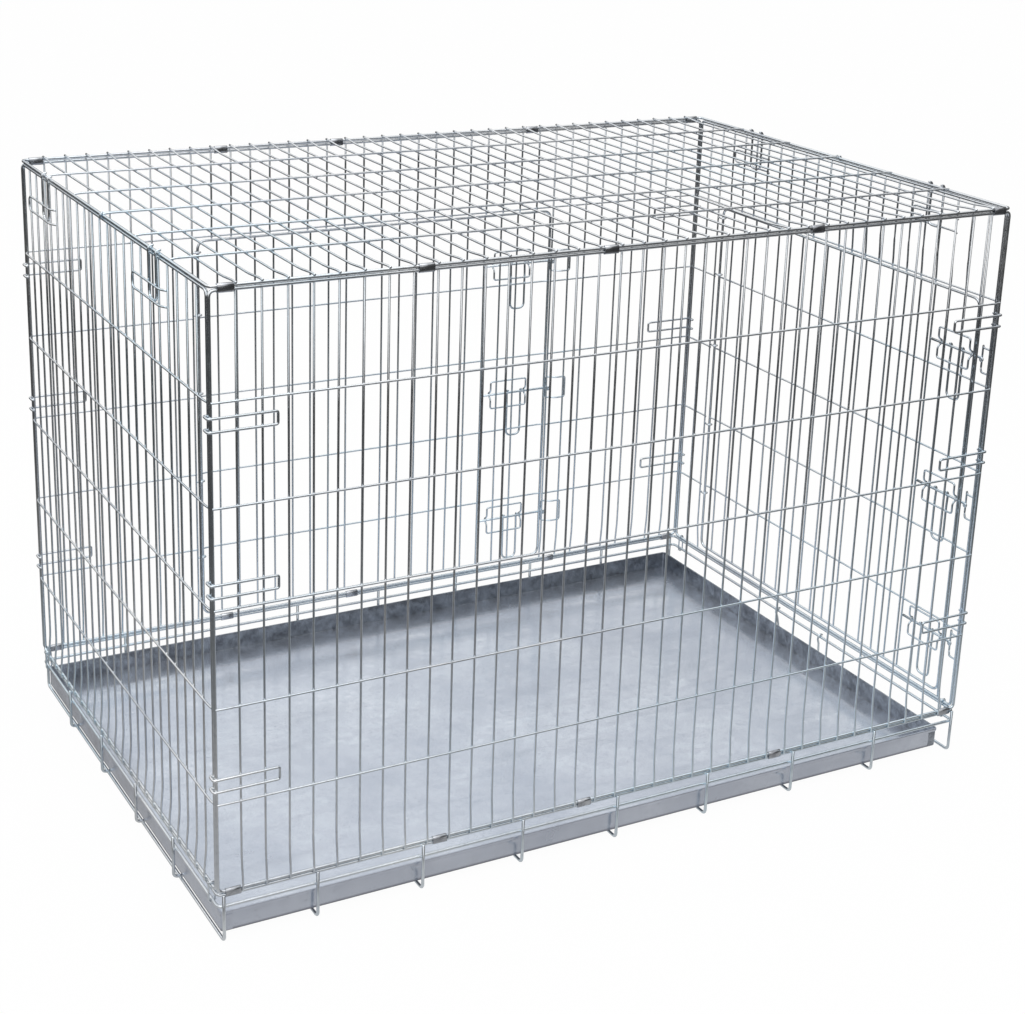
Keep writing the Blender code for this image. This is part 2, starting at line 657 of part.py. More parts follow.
def main():
    clear_scene()
    zinc = metal("galvanised_wire", (0.60, 0.62, 0.64), 0.36)
    sheet = metal("galvanised_sheet", (0.58, 0.61, 0.65), 0.42)
    bright = metal("zinc_plated_clip", (0.70, 0.71, 0.73), 0.24)
    build_base(zinc, sheet)
    fittings = [wires(corner_hooks("front"), HOOK_WIRE)]
    add_piece("front_wall", wall("front_wall", "front", FACE_X, LONG_GAPS, None, fittings), zinc)
    build_back(zinc, bright)
    build_ends(zinc, bright)
    build_top(zinc, bright)
    build_clips(bright)


main()
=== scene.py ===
"""The look of a folding dog crate of bright galvanised wire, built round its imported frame.

Every panel is made again from round wires and takes the place of its faceted solid. A panel is drawn in
its own coordinates: u along it, v up it (or across the top) and w outwards.
"""

import json
import math

import bpy
import numpy as np
from bpy.props import FloatProperty, FloatVectorProperty, IntProperty, PointerProperty
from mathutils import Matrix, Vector


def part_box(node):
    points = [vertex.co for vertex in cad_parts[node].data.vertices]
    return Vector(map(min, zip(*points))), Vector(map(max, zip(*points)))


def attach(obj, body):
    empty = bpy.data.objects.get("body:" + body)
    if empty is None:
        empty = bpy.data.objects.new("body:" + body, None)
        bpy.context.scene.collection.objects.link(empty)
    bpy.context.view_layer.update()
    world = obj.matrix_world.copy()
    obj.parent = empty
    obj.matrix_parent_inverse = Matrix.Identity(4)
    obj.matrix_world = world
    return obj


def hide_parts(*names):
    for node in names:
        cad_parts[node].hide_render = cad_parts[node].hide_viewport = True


bl_info = {
    "name": "Wire Dog Crate",
    "version": (1, 0, 0),
    "blender": (4, 5, 0),
    "location": "View3D > Sidebar > Crate",
    "description": "Builds a folding wire dog crate with a sheet tray, two doors and sliding bolts",
    "category": "Object",
}

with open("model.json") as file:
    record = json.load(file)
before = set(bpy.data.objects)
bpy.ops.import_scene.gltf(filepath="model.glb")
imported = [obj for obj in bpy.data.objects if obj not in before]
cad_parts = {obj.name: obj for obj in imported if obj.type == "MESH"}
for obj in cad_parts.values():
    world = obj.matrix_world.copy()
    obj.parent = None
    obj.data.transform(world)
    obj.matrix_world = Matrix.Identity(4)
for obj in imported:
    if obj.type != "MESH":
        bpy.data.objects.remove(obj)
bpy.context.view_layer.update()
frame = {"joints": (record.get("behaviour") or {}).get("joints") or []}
JOINTS = {joint["name"]: joint for joint in frame["joints"]}


def joint_place(name):
    """Where a joint's axis stands."""
    return np.array(JOINTS[name]["pos_m"], float)


def middle(node):
    """The middle of a node's box."""
    low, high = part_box(node)
    return (np.array(low) + np.array(high)) / 2


# Places that the frame gives, and measures in metres. An OUT is a distance outwards from a panel's plane.
FACE_X, _, FOOT = joint_place("right_end_fold")
TOP = joint_place("top_hook_left_front_swing")[2]
DOOR_OUT = 0.00405
FACE_Y = joint_place("back_door_hinge")[1] - DOOR_OUT
STACK = 0.0048  # one frame wire lying on another
WALL = TOP - STACK - FOOT
END_HALF = FACE_Y - 0.0064
RAIL_LOW, RAIL_HIGH = middle("base_lower_rail")[2], middle("base_upper_rail")[2]
LONG_GAPS, END_GAPS = 37, 23
LONG_PITCH, END_PITCH = 2 * FACE_X / LONG_GAPS, 2 * END_HALF / END_GAPS
ROWS = 0.126 + 0.1327 * np.arange(5)
ROW_DIP = 0.008  # how far from its end a row bends in
SUNK = 0.94  # a row's middle lies this share of a mesh wire outside the uprights
EYE_HEIGHTS = np.array([0.632, 0.529, 0.397, 0.246, 0.112])
HOOK_HEIGHTS = np.array([0.6295, 0.417, 0.1535])
BOLT_OUT = joint_place("back_bolt_1_slide")[1] - FACE_Y
ARCH_OUT = BOLT_OUT + 0.0041
HANDLE_OUT = 0.0112
LEG_OUT = 0.0045  # of the top hooks, the corner hooks' ends and the tray stop's eyes
GUIDE_OUT = 0.00534
TOP_GUIDE_OUT = 0.00815
DOORWAYS = {"back": (8, 28), "right": (1, 21)}  # the columns at both sides of each
RAIL_BEND = 0.008  # corner radius of the rails
BASE_BEND = 0.0075  # corner radius of the base's other wires

# Each door's wall, the axis along it, the way to the latch, and how far the middles of the guides and the
# handles lie back from the latch. A keeper starts one gap past it.
KEEPER_GAP, GUIDE_HALF = 0.0078, 0.035
DOORS = {"back": ("back", 0, 1, 0.072, 0.057), "end": ("right", 1, -1, 0.048, 0.046)}

# The camera fitted to the photograph, its turn in degrees
CAMERA_PLACE = (-1.3464, -2.438, 1.4396)
CAMERA_TURN = (72.032, -1.891, -28.664)
CAMERA_SHIFT = -0.1044


def number(name, description, default, low, high, **kind):
    """A number that a user may change."""
    return FloatProperty(name=name, description=description, default=default, min=low, max=high, **kind)


def metres(name, description, default, low, high):
    """A length that a user may change."""
    return number(name, description, default, low, high, unit="LENGTH")


def tint(name, description, default):
    """A colour that a user may change."""
    return FloatVectorProperty(
        name=name, description=description, default=default, subtype="COLOR", size=3, min=0, max=1
    )


class CrateWires(bpy.types.PropertyGroup):
    """Thicknesses of the wires and of the welds between them."""

    frame: metres("Frame wire", "Diameter of the wire round each panel", 0.0045, 0.003, 0.006)
    mesh: metres("Mesh wire", "Diameter of the columns, rows and loops", 0.0030, 0.002, 0.004)
    door: metres("Door wire", "Diameter of the wire round each door", 0.0043, 0.003, 0.0045)
    bolt: metres("Bolt wire", "Diameter of a bolt's rod", 0.0040, 0.003, 0.0042)
    hook: metres("Hook wire", "Diameter of the hooks, handles and tray stop", 0.0035, 0.002, 0.0037)
    ring: metres("Ring wire", "Diameter of the links that hinge the end walls", 0.0025, 0.002, 0.003)
    weld: metres("Weld size", "Spread of a spot weld from its middle", 0.0021, 0.0, 0.003)
    bow: metres("Bow", "How far the wires stray sideways at most", 0.0008, 0.0, 0.002)
    sides: IntProperty(name="Sides", description="Faces round a thin wire", default=10, min=6, max=24)


class CrateTray(bpy.types.PropertyGroup):
    """Shape of the sheet metal tray."""

    sheet: metres("Sheet", "Thickness of the sheet", 0.0012, 0.0006, 0.002)
    hem: metres("Hem", "Thickness of the rolled rim", 0.0026, 0.0015, 0.004)
    wave: metres("Wave", "Height of the soft waves in the floor", 0.0008, 0.0, 0.002)
    flap: metres("Corner flap", "Width of the lapped flap at each corner", 0.016, 0.005, 0.04)


class CrateFinish(bpy.types.PropertyGroup):
    """Colours and gloss of the metals."""

    zinc_light: tint("Zinc, light", "Brightest colour of the wire", (0.88, 0.90, 0.92))
    zinc_dark: tint("Zinc, dark", "Dullest colour of the wire", (0.66, 0.70, 0.75))
    zinc_blue: tint("Zinc, blue", "Cold cast that drifts over the wire", (0.70, 0.82, 0.90))
    sheet_light: tint("Sheet, light", "Brightest colour of the tray", (0.70, 0.75, 0.83))
    sheet_dark: tint("Sheet, dark", "Dullest colour of the tray", (0.55, 0.60, 0.69))
    clip_colour: tint("Clip", "Colour of the plated clips", (0.60, 0.62, 0.65))
    wire_roughness: number("Wire roughness", "Middle roughness of the wire", 0.19, 0, 1, subtype="FACTOR")
    sheet_roughness: number("Sheet roughness", "Middle roughness of the tray", 0.17, 0, 1, subtype="FACTOR")
    spangle: metres("Spangle", "Width of a zinc crystal on the tray", 0.012, 0.002, 0.05)


class CrateStage(bpy.types.PropertyGroup):
    """Floor, lamps and camera."""

    floor_colour: tint("Floor", "Colour of the floor", (1.0, 1.0, 1.0))
    key_power: number("Key lamp", "Power of the large lamp overhead", 26.0, 0, 500, unit="POWER")
    fill_power: number("Fill lamp", "Power of the lamp beside the camera", 4.0, 0, 500, unit="POWER")
    lens: number("Lens", "Focal length of the camera", 67.738, 10, 300, unit="CAMERA")


def unit(vectors):
    """Vectors divided by their lengths."""
    return vectors / np.maximum(np.linalg.norm(vectors, axis=-1, keepdims=True), 1e-12)


def placed(side, points):
    """World points of a panel's (u, v, w) points."""
    u, v, w = np.moveaxis(np.asarray(points, float), -1, 0)
    return np.stack({
        "front": (u, -FACE_Y - w, FOOT + v),
        "back": (u, FACE_Y + w, FOOT + v),
        "left": (-FACE_X - w, u, FOOT + v),
        "right": (FACE_X + w, u, FOOT + v),
        "top": (u, v, TOP + w),
    }[side], -1)


def eased(points, radius, steps=5, closed=False):
    """Paths whose corners are turned on curves.

    A corner C becomes (1 - t)^2 S + 2 t (1 - t) C + t^2 E for t from 0 to 1, where S and E lie one radius
    before and after it, or nearly half way to the next corner where that is nearer.
    """
    points = np.asarray(points, float)
    ends = []
    for shift in (1, -1):
        leg = np.roll(points, shift, -2) - points
        reach = np.minimum(radius, 0.49 * np.linalg.norm(leg, axis=-1, keepdims=True))
        ends.append(points + unit(leg) * reach)
    t = np.linspace(0, 1, steps + 1)[:, None]
    start, corner, end = (each[..., None, :] for each in (ends[0], points, ends[1]))
    curve = (1 - t) ** 2 * start + 2 * t * (1 - t) * corner + t**2 * end
    shape = (*points.shape[:-2], -1, 3)
    if closed:
        return curve.reshape(shape)
    inner = curve[..., 1:-1, :, :].reshape(shape)
    return np.concatenate([points[..., :1, :], inner, points[..., -1:, :]], -2)


def lifted(path, heights):
    """A panel's path, once at each height."""
    return np.asarray(path, float) + heights[:, None, None] * (0, 1, 0)


def with_mirror(points, flip=(1, -1, 1)):
    """Half a loop, then its mirror image."""
    points = np.array(points)
    return np.concatenate([points, points[::-1] * flip])


def joined_legs(near, far, radius):
    """One path down a leg and up another, with a round foot between them."""
    foot = eased([near[-2], near[-1], far[-1], far[-2]], radius, 8)
    return np.concatenate([near[:-2], foot, far[-3::-1]])


def tubes(paths, diameter, sides=12, closed=False, lean=None, cut=False):
    """Round wires along paths, an array of (wires, points, 3).

    A ring is P + r (cos a A + sin a B), where A is a fixed lean made square to the path at P and B is square
    to both. The lean is the direction that the wire runs along least. Cut ends get a small chamfer.
    """
    paths = np.asarray(paths, float)
    paths = paths[None] if paths.ndim == 2 else paths
    if cut:
        ends = paths[:, [0, -1]]
        near = ends + unit(paths[:, [1, -2]] - ends) * diameter * 0.12
        paths = np.concatenate([ends[:, :1], near[:, :1], paths[:, 1:-1], near[:, 1:], ends[:, 1:]], 1)
    radii = np.full(paths.shape[1], diameter / 2)
    if cut:
        radii[[0, -1]] *= 0.74
    step = unit(np.roll(paths, -1, 1) - paths if closed else np.diff(paths, axis=1))
    ahead = step if closed else np.concatenate([step, step[:, -1:]], 1)
    behind = np.roll(step, 1, 1) if closed else np.concatenate([step[:, :1], step], 1)
    along = unit(ahead + behind)
    lean = np.linalg.svd(step)[2][:, -1:] if lean is None else np.asarray(lean, float)[None, None]
    across = unit(lean - (lean * along).sum(-1, keepdims=True) * along)
    third = np.cross(along, across)
    angle = 2 * np.pi * np.arange(sides) / sides
    ring = np.cos(angle)[:, None] * across[:, :, None] + np.sin(angle)[:, None] * third[:, :, None]
    points = paths[:, :, None] + radii[None, :, None, None] * ring
    index = np.arange(points[..., 0].size).reshape(points.shape[:3])
    here = index if closed else index[:, :-1]
    there = np.roll(index, -1, 1) if closed else index[:, 1:]
    quads = np.stack([here, np.roll(here, -1, 2), np.roll(there, -1, 2), there], -1).reshape(-1, 4)
    faces = [quads] if closed else [quads, index[:, 0, ::-1], index[:, -1]]
    return points.reshape(-1, 3), faces


def beads(centres, size, sides=6):
    """Small flattened beads.

    A point is C + size (cos a cos b, sin a cos b, sin b), at b of -90, -30, 30 and 90 degrees.
    """
    centres = np.asarray(centres, float).reshape(-1, 3)
    angle = 2 * np.pi * np.arange(sides) / sides
    flat, rise = math.cos(math.radians(30)), 0.5
    low = np.stack([np.cos(angle) * flat, np.sin(angle) * flat, np.full(sides, -rise)], -1)
    shape = np.concatenate([low, low * (1, 1, -1), [[0, 0, -1], [0, 0, 1]]]) * size
    first = np.arange(len(centres))[:, None, None] * len(shape)
    ring = np.arange(sides)
    after = np.roll(ring, -1)
    sheet = np.stack([ring, after, after + sides, ring + sides], -1)
    under = np.stack([after, ring, np.full(sides, 2 * sides)], -1)
    over = np.stack([ring + sides, after + sides, np.full(sides, 2 * sides + 1)], -1)
    faces = [(group + first).reshape(-1, group.shape[1]) for group in (sheet, under, over)]
    return (centres[:, None] + shape).reshape(-1, 3), faces


def shell(grid, wrap=True):
    """Faces of a grid of points. Its first index is closed on itself, and so is its second if it wraps."""
    index = np.arange(grid[..., 0].size).reshape(grid.shape[:2])
    here = index if wrap else index[:, :-1]
    there = np.roll(index, -1, 1) if wrap else index[:, 1:]
    quads = np.stack([here, np.roll(here, -1, 0), np.roll(there, -1, 0), there], -1).reshape(-1, 4)
    return grid.reshape(-1, 3), [quads]


def plate(low, high, out, bevel=0.0004):
    """A thin plate from low to high, whose face at the outer y is drawn in by a bevel at its edges."""
    corner = np.array([(i, j, k) for i in (0, 1) for j in (0, 1) for k in (0, 1)], float)
    low, high = np.minimum(low, high), np.maximum(low, high)
    outer = corner[:, 1:2] == (out > 0)
    points = low + corner * (high - low) + outer * np.where(corner > 0.5, -1, 1) * (bevel, 0, bevel)
    faces = np.array([(0, 1, 3, 2), (4, 6, 7, 5), (0, 4, 5, 1), (2, 3, 7, 6), (0, 2, 6, 4), (1, 5, 7, 3)])
    return points, [faces]


def add_piece(name, parts, body, slot, nodes, edge=None):
    """One mesh object of all the parts, which rides on a body and stands for its solid.

    The attribute edge, where given, tells the material of the tray where each point lies.
    """
    counts = np.cumsum([0] + [len(points) for points, _ in parts])
    groups = [group + start for (_, faces), start in zip(parts, counts) for group in faces]
    faces = [face for group in groups for face in group.tolist()]
    mesh = bpy.data.meshes.new(name)
    mesh.from_pydata(np.concatenate([points for points, _ in parts]), [], faces)
    mesh.validate()
    if edge is not None:
        mesh.attributes.new("edge", "FLOAT", "POINT").data.foreach_set("value", edge)
    mesh.shade_smooth()
    mesh.set_sharp_from_angle(angle=math.radians(50))
    mesh.materials.append(material_for(slot))
    piece = bpy.data.objects.new(name, mesh)
    bpy.context.scene.collection.objects.link(piece)
    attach(piece, body)
    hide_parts(*nodes)


class Nodes:
    """A short way to add shader nodes and join them."""

    def __init__(self, tree):
        self.tree = tree

    def add(self, kind, inputs=(), **settings):
        """A node of a kind, with values or links on its inputs."""
        node = self.tree.nodes.new(kind)
        for name, value in settings.items():
            setattr(node, name, value)
        for name, value in dict(inputs).items():
            if isinstance(value, bpy.types.NodeSocket):
                self.tree.links.new(value, node.inputs[name])
            else:
                node.inputs[name].default_value = value
        return node

    def maths(self, operation, *values):
        """A number worked out from others."""
        return self.add("ShaderNodeMath", enumerate(values), operation=operation).outputs[0]

    def vector(self, operation, *values):
        """The outputs of vector arithmetic, which are called Vector and Value."""
        return self.add("ShaderNodeVectorMath", enumerate(values), operation=operation).outputs

    def noise(self, where, scale, detail=3.0, roughness=0.55):
        """Smooth noise about 0.5."""
        inputs = {"Vector": where, "Scale": scale, "Detail": detail, "Roughness": roughness}
        return self.add("ShaderNodeTexNoise", inputs).outputs["Fac"]

    def blend(self, factor, first, second):
        """The first colour, turned into the second by a factor."""
        first, second = (c if isinstance(c, bpy.types.NodeSocket) else (*c, 1.0) for c in (first, second))
        return self.add("ShaderNodeMix", {0: factor, 6: first, 7: second}, data_type="RGBA").outputs[2]

    def spread(self, value, low, high, to_low=0.0, to_high=1.0):
        """A value's stretch from low to high, made another stretch and held to it."""
        inputs = {"Value": value, "From Min": low, "From Max": high, "To Min": to_low, "To Max": to_high}
        return self.add("ShaderNodeMapRange", inputs).outputs["Result"]

    def bump(self, height, strength, distance, **below):
        """A normal tilted by a height."""
        inputs = {"Height": height, "Strength": strength, "Distance": distance, **below}
        return self.add("ShaderNodeBump", inputs).outputs["Normal"]


def new_material(name):
    """The nodes of a new material, and its Object coordinates."""
    material = bpy.data.materials.new(name)
    material.use_nodes = True
    material.node_tree.nodes.clear()
    nodes = Nodes(material.node_tree)
    return nodes, nodes.add("ShaderNodeTexCoord").outputs["Object"]


def finish_metal(nodes, colour, roughness, normal, metallic=1.0):
    """A metal shader on the material's output."""
    inputs = {"Base Color": colour, "Metallic": metallic, "Roughness": roughness, "Normal": normal}
    shader = nodes.add("ShaderNodeBsdfPrincipled", inputs)
    nodes.add("ShaderNodeOutputMaterial", {"Surface": shader.outputs["BSDF"]})


def zinc_wire(nodes, where, finish):
    """Bright galvanised drawn wire: light and dull zinc, a cold cast in places and fine grain."""
    drift = nodes.spread(nodes.noise(where, 7.0, 4.0), 0.36, 0.64)
    cold = nodes.spread(nodes.noise(where, 1.6, 2.0), 0.42, 0.60, 0.0, 0.7)
    grain = nodes.noise(where, 140.0, 2.0, 0.5)
    colour = nodes.blend(drift, finish.zinc_dark, finish.zinc_light)
    colour = nodes.blend(cold, colour, finish.zinc_blue)
    colour = nodes.blend(nodes.spread(grain, 0.50, 0.78, 0.0, 0.30), colour, (0.42, 0.45, 0.49))
    smooth, dull = finish.wire_roughness - 0.05, finish.wire_roughness + 0.08
    rough = nodes.spread(nodes.noise(where, 60.0), 0.3, 0.7, smooth, dull)
    finish_metal(nodes, colour, rough, nodes.bump(grain, 0.10, 0.0001))


def plated_clip(nodes, where, finish):
    """Smooth plated strip with dark clouds and faint draw lines."""
    scratch = nodes.noise(nodes.vector("MULTIPLY", where, (40.0, 900.0, 900.0))["Vector"], 1.0)
    cloud = nodes.spread(nodes.noise(where, 60.0), 0.35, 0.65, 0.0, 0.6)
    colour = nodes.blend(cloud, finish.clip_colour, (0.22, 0.23, 0.26))
    rough = nodes.spread(scratch, 0.3, 0.7, 0.14, 0.30)
    finish_metal(nodes, colour, rough, nodes.bump(scratch, 0.2, 0.0001))


def galvanised_sheet(nodes, where, finish):
    """Galvanised sheet: zinc crystals under soft clouds, smears and specks, and a greyer outer wall. Painted
    shade, partly soil, darkens the walls and the floor near them. Painted shade makes the inner wall nearly
    black, and a painted contact shadow darkens the outer wall's foot and the underside.

    The attribute edge is the distance from the inner wall on the floor, 0 on the inner wall, and below 0 on
    the outer wall, where it rises from -0.010 at the foot to -0.004.
    """
    warp = nodes.add("ShaderNodeTexNoise", {"Vector": where, "Scale": 60.0, "Detail": 2.0}).outputs["Color"]
    bent = nodes.vector("MULTIPLY_ADD", warp, (0.006, 0.006, 0.006), where)["Vector"]
    inputs = {"Vector": bent, "Scale": 1.0 / finish.spangle, "Randomness": 1.0}
    crystals = nodes.add("ShaderNodeTexVoronoi", inputs).outputs["Color"]
    facet = nodes.add("ShaderNodeSeparateColor", {"Color": crystals}).outputs[0]
    cloud = nodes.noise(where, 5.0, 5.0, 0.6)
    smear = nodes.noise(nodes.vector("MULTIPLY", where, (3.0, 16.0, 16.0))["Vector"], 1.5, 5.0, 0.65)
    stain = nodes.spread(nodes.noise(where, 22.0, 6.0, 0.7), 0.34, 0.62)
    # mottling between two dark greys in the painted shade of the inner wall
    shade_mottle = nodes.spread(nodes.noise(where, 90.0, 6.0, 0.75), 0.40, 0.60)
    speck = nodes.noise(where, 260.0, 2.0)

    edge = nodes.add("ShaderNodeAttribute", attribute_name="edge").outputs["Fac"]
    along_y = nodes.add("ShaderNodeSeparateXYZ", {"Vector": where}).outputs["Y"]
    # Painted shade, partly soil: the walls and the floor within 50 mm of them grow darker, most towards the
    # back.
    rear = nodes.spread(along_y, -0.38, 0.15, 0.12, 1.0)
    wall_shade_and_soil = nodes.maths("MULTIPLY", nodes.spread(edge, 0.0, 0.05, 1.0, 0.0), rear)
    # Painted shade: the inner wall and a 3 mm strip of floor at its crease are made dark.
    off_floor = nodes.spread(edge, 0.0002, 0.003, 1.0, 0.0)
    inner_wall_shade = nodes.maths("MULTIPLY", nodes.spread(edge, -0.003, 0.0), off_floor)

    colour = nodes.blend(nodes.spread(cloud, 0.34, 0.66), finish.sheet_dark, finish.sheet_light)
    for amount, other in (
        (nodes.spread(facet, 0.0, 1.0, 0.0, 0.30), finish.sheet_dark),
        (nodes.spread(smear, 0.50, 0.74, 0.0, 0.40), (0.46, 0.50, 0.57)),
        # painted shade and soil on and beside the walls, mottled by the stain noise
        (nodes.maths("MULTIPLY", wall_shade_and_soil, stain), (0.34, 0.36, 0.40)),
        # painted shade on the inner wall and its crease, nearly black
        (
            nodes.maths("MULTIPLY", inner_wall_shade, nodes.spread(stain, 0.0, 1.0, 0.70, 0.94)),
            nodes.blend(shade_mottle, (0.11, 0.12, 0.14), (0.31, 0.34, 0.38)),
        ),
        (nodes.spread(edge, -0.0042, -0.0034, 0.30, 0.0), (0.47, 0.47, 0.53)),
        # painted contact shadow: the outer wall's lowest 4 mm and the underside made nearly black
        (nodes.spread(edge, -0.0088, -0.0060, 0.8, 0.0), (0.10, 0.10, 0.12)),
        (nodes.spread(speck, 0.66, 0.74, 0.0, 0.5), (0.30, 0.32, 0.36)),
    ):
        colour = nodes.blend(amount, colour, other)

    dull, bright = finish.sheet_roughness + 0.06, finish.sheet_roughness - 0.04
    rough = nodes.spread(cloud, 0.3, 0.7, dull, bright)
    rough = nodes.maths("ADD", rough, nodes.maths("MULTIPLY", facet, 0.06))
    fine = nodes.bump(speck, 0.15, 0.0002)
    finish_metal(nodes, colour, rough, nodes.bump(facet, 0.08, 0.0004, Normal=fine), 0.82)


FINISHES = {
    "galvanised_wire": ("galvanised wire", zinc_wire),
    "galvanised_sheet": ("galvanised sheet", galvanised_sheet),
    "zinc_plated_clip": ("plated clip", plated_clip),
}


def material_for(slot):
    """The material of a slot, made when it is first asked for."""
    name, paint = FINISHES[slot]
    if name not in bpy.data.materials:
        paint(*new_material(name), bpy.context.scene.crate_finish)
    return bpy.data.materials[name]


def mesh_tubes(side, paths, wires, **more):
    """Round mesh wires along a panel's paths."""
    return tubes(placed(side, paths), wires.mesh, wires.sides, **more)


def add_wires(name, parts, node, body="frame"):
    """One mesh object of wires."""
    add_piece(name, parts, body, "galvanised_wire", [node])


def frame_ring(side, along, up, out, corner, wire):
    """A closed rectangle of wire with round corners."""
    corners = [(along[i], up[j], out) for i, j in ((0, 0), (1, 0), (1, 1), (0, 1))]
    return tubes(placed(side, eased(corners, corner, 6, closed=True)), wire, closed=True)


def uprights(side, places, low, high, out, wires, bow, seed, feet=0.0, tops=0.0):
    """Wires from a panel's bottom to its top. u = place + bow sin(pi h) at the share h of the height.

    An end that is welded over its rail leans out by feet or tops: w = out + lean (1 - s)^2 (1 + 2 s), where s
    is the distance from that end over 50 mm, at most 1. It then runs 3.5 mm past the rail's middle.
    """
    reach = 0.05
    near = reach * np.array([-0.07, 0.1, 0.25, 0.4, 0.6, 0.8, 1.0])
    lower = low + (near if feet else near[:1] * 0)
    upper = high - (near[::-1] if tops else near[:1] * 0)
    v = np.concatenate([lower, low + (high - low) * np.array([0.25, 0.5, 0.75]), upper])
    w = out
    for lean, away in ((feet, v - low), (tops, high - v)):
        s = np.clip(away / reach, 0, 1)
        w = w + lean * (1 - s) ** 2 * (1 + 2 * s)
    sway = np.sin(np.pi * np.clip((v - low) / (high - low), 0, 1))
    stray = np.random.default_rng(seed).uniform(-bow, bow, len(places))
    u = places[:, None] + stray[:, None] * sway
    path = np.stack([u, u * 0 + v, u * 0 + w], -1)
    return mesh_tubes(side, path, wires, cut=bool(feet or tops))


def cross_rows(side, start, end, heights, out, weld, wires):
    """Wires across the outside of the uprights, whose ends bend in to their welds."""
    dip = math.copysign(ROW_DIP, end - start)
    bends = (start, weld), (start + dip, out), ((start + end) / 2, out), (end - dip, out), (end, weld)
    paths = lifted([(u, 0, w) for u, w in bends], heights)
    return mesh_tubes(side, eased(paths, 0.004, 3), wires)


def crossings(side, places, heights, out, wires):
    """A spot weld at each crossing of an upright and a row, flat against the panel."""
    u, v = np.meshgrid(places, heights)
    size = wires.weld
    span = np.abs(placed(side, (size, size, size * 0.45)) - placed(side, (0, 0, 0)))
    return beads(placed(side, np.stack([u, v, u * 0 + out], -1)), span)


def corner_hooks(side, wires):
    """Long loops at both ends of a long wall, which run past the end wall's post and curl in behind it."""
    past, length, half = FACE_X + LEG_OUT, 0.084, 0.0085
    out = (wires.mesh + wires.hook) / 2
    tip = END_HALF - FACE_Y - (wires.frame + wires.hook) / 2 - 0.0003
    loop = with_mirror([
        (past - 0.0045, half, tip), (past, half, tip), (past, half, out),
        (FACE_X - 0.012, half, out), (FACE_X - length, half, out),
    ])
    paths = np.concatenate([lifted(loop * (end, 1, 1), HOOK_HEIGHTS) for end in (-1, 1)])
    path = placed(side, eased(paths, 0.0034, 5))
    return tubes(path, wires.hook, wires.sides, lean=(0.3, 0.9, 0.45), cut=True)


def top_guides(side, wires):
    """Flat springy loops on an end wall that trap the top's hooks. The free end bows outwards."""
    parts = []
    half, height = 0.0105, WALL - 0.045
    for word in ("front", "rear"):
        place = joint_place(f"top_hook_{side}_{word}_swing")[1]
        start = -END_HALF + END_PITCH * (math.floor((place + END_HALF) / END_PITCH) - 1)
        end = start + END_PITCH * 3 + 0.008
        loop = with_mirror([
            (start - 0.0012, half, 0.0018), (start + 0.009, half, TOP_GUIDE_OUT),
            (end - 0.03, half, TOP_GUIDE_OUT), (end, half, TOP_GUIDE_OUT + 0.001),
        ])
        path = eased(loop + (0, height, 0), 0.0095, 8)
        parts.append(mesh_tubes(side, path, wires, lean=(0.35, 0.2, 0.9), cut=True))
    return parts


def hinge_eyes(side, column, hinge, wires):
    """Loops from the wall's column round the door's hinge wire: a straight leg and a circle of radius r."""
    away = math.copysign(1.0, hinge - column)
    radius = (wires.door + wires.mesh) / 2 + 0.0005
    turn = np.radians(np.linspace(-90, 175, 14))
    circle = np.stack([hinge + away * radius * np.cos(turn), turn * 0, DOOR_OUT + radius * np.sin(turn)], -1)
    path = np.concatenate([[(column, 0, 0.0012)], circle])
    return mesh_tubes(side, lifted(path, EYE_HEIGHTS), wires, cut=True)


def keepers(side, latch, away, width, heights, wires):
    """Loops on the wall that stand out beside the doorway, for the bolts to slide behind."""
    near, far, half = latch + away * KEEPER_GAP, latch + away * (KEEPER_GAP + width), 0.019
    knee = near + (far - near) * 0.45
    weld = wires.mesh * 0.75
    loop = with_mirror([(near, half, ARCH_OUT), (knee, half, weld), (far, half, weld)])
    paths = eased(lifted(loop, heights), 0.0045, 5, closed=True)
    return mesh_tubes(side, paths, wires, closed=True, lean=(0.25, 0.3, 0.92))


def bolt_guides(side, centre, heights, wires):
    """Rectangles of wire on the door's columns, whose two ends arch out over the bolt."""
    arch = (wires.bolt + wires.mesh) / 2 + 0.0008
    rise = [(0.0245, GUIDE_OUT), (2 * arch, GUIDE_OUT), (arch, BOLT_OUT), (arch * 0.7, ARCH_OUT)]
    end = with_mirror([(GUIDE_HALF, v, w) for v, w in rise])
    loop = with_mirror(end, (-1, 1, 1)) + (centre, 0, 0)
    paths = eased(lifted(loop, heights), 0.004, 4, closed=True)
    return mesh_tubes(side, paths, wires, closed=True, lean=(0.7, 0.5, 0.5))


def wall_parts(side, half, gaps, wires, seed):
    """Frame, uprights, rows and welds of a wall. Over a doorway the uprights end on the row under them."""
    pitch = 2 * half / gaps
    number = np.arange(1, gaps)
    places = -half + pitch * number
    first, last = DOORWAYS.get(side, (0, 0))
    over = (number > first) & (number < last)
    whole, short = places[~over], places[over]
    out, weld = wires.mesh * SUNK, wires.mesh * 0.6
    parts = [
        frame_ring(side, (-half, half), (0.0, WALL), 0.0, RAIL_BEND, wires.frame),
        uprights(side, whole, 0.0, WALL, 0.0, wires, wires.bow, seed, 0.0033),
        crossings(side, whole, ROWS, out / 2, wires),
    ]
    rows = [(-half, half, ROWS)]
    if last:
        parts += [
            uprights(side, short, ROWS[-1], WALL, 0.0, wires, wires.bow / 4, seed + 1, weld),
            crossings(side, short, ROWS[-1:], out / 2, wires),
        ]
        rows = [
            (-half, half, ROWS[-1:]),
            (-half, -half + pitch * first, ROWS[:-1]),
            (half, -half + pitch * last, ROWS[:-1]),
        ]
    return parts + [cross_rows(side, *row, out, weld, wires) for row in rows]


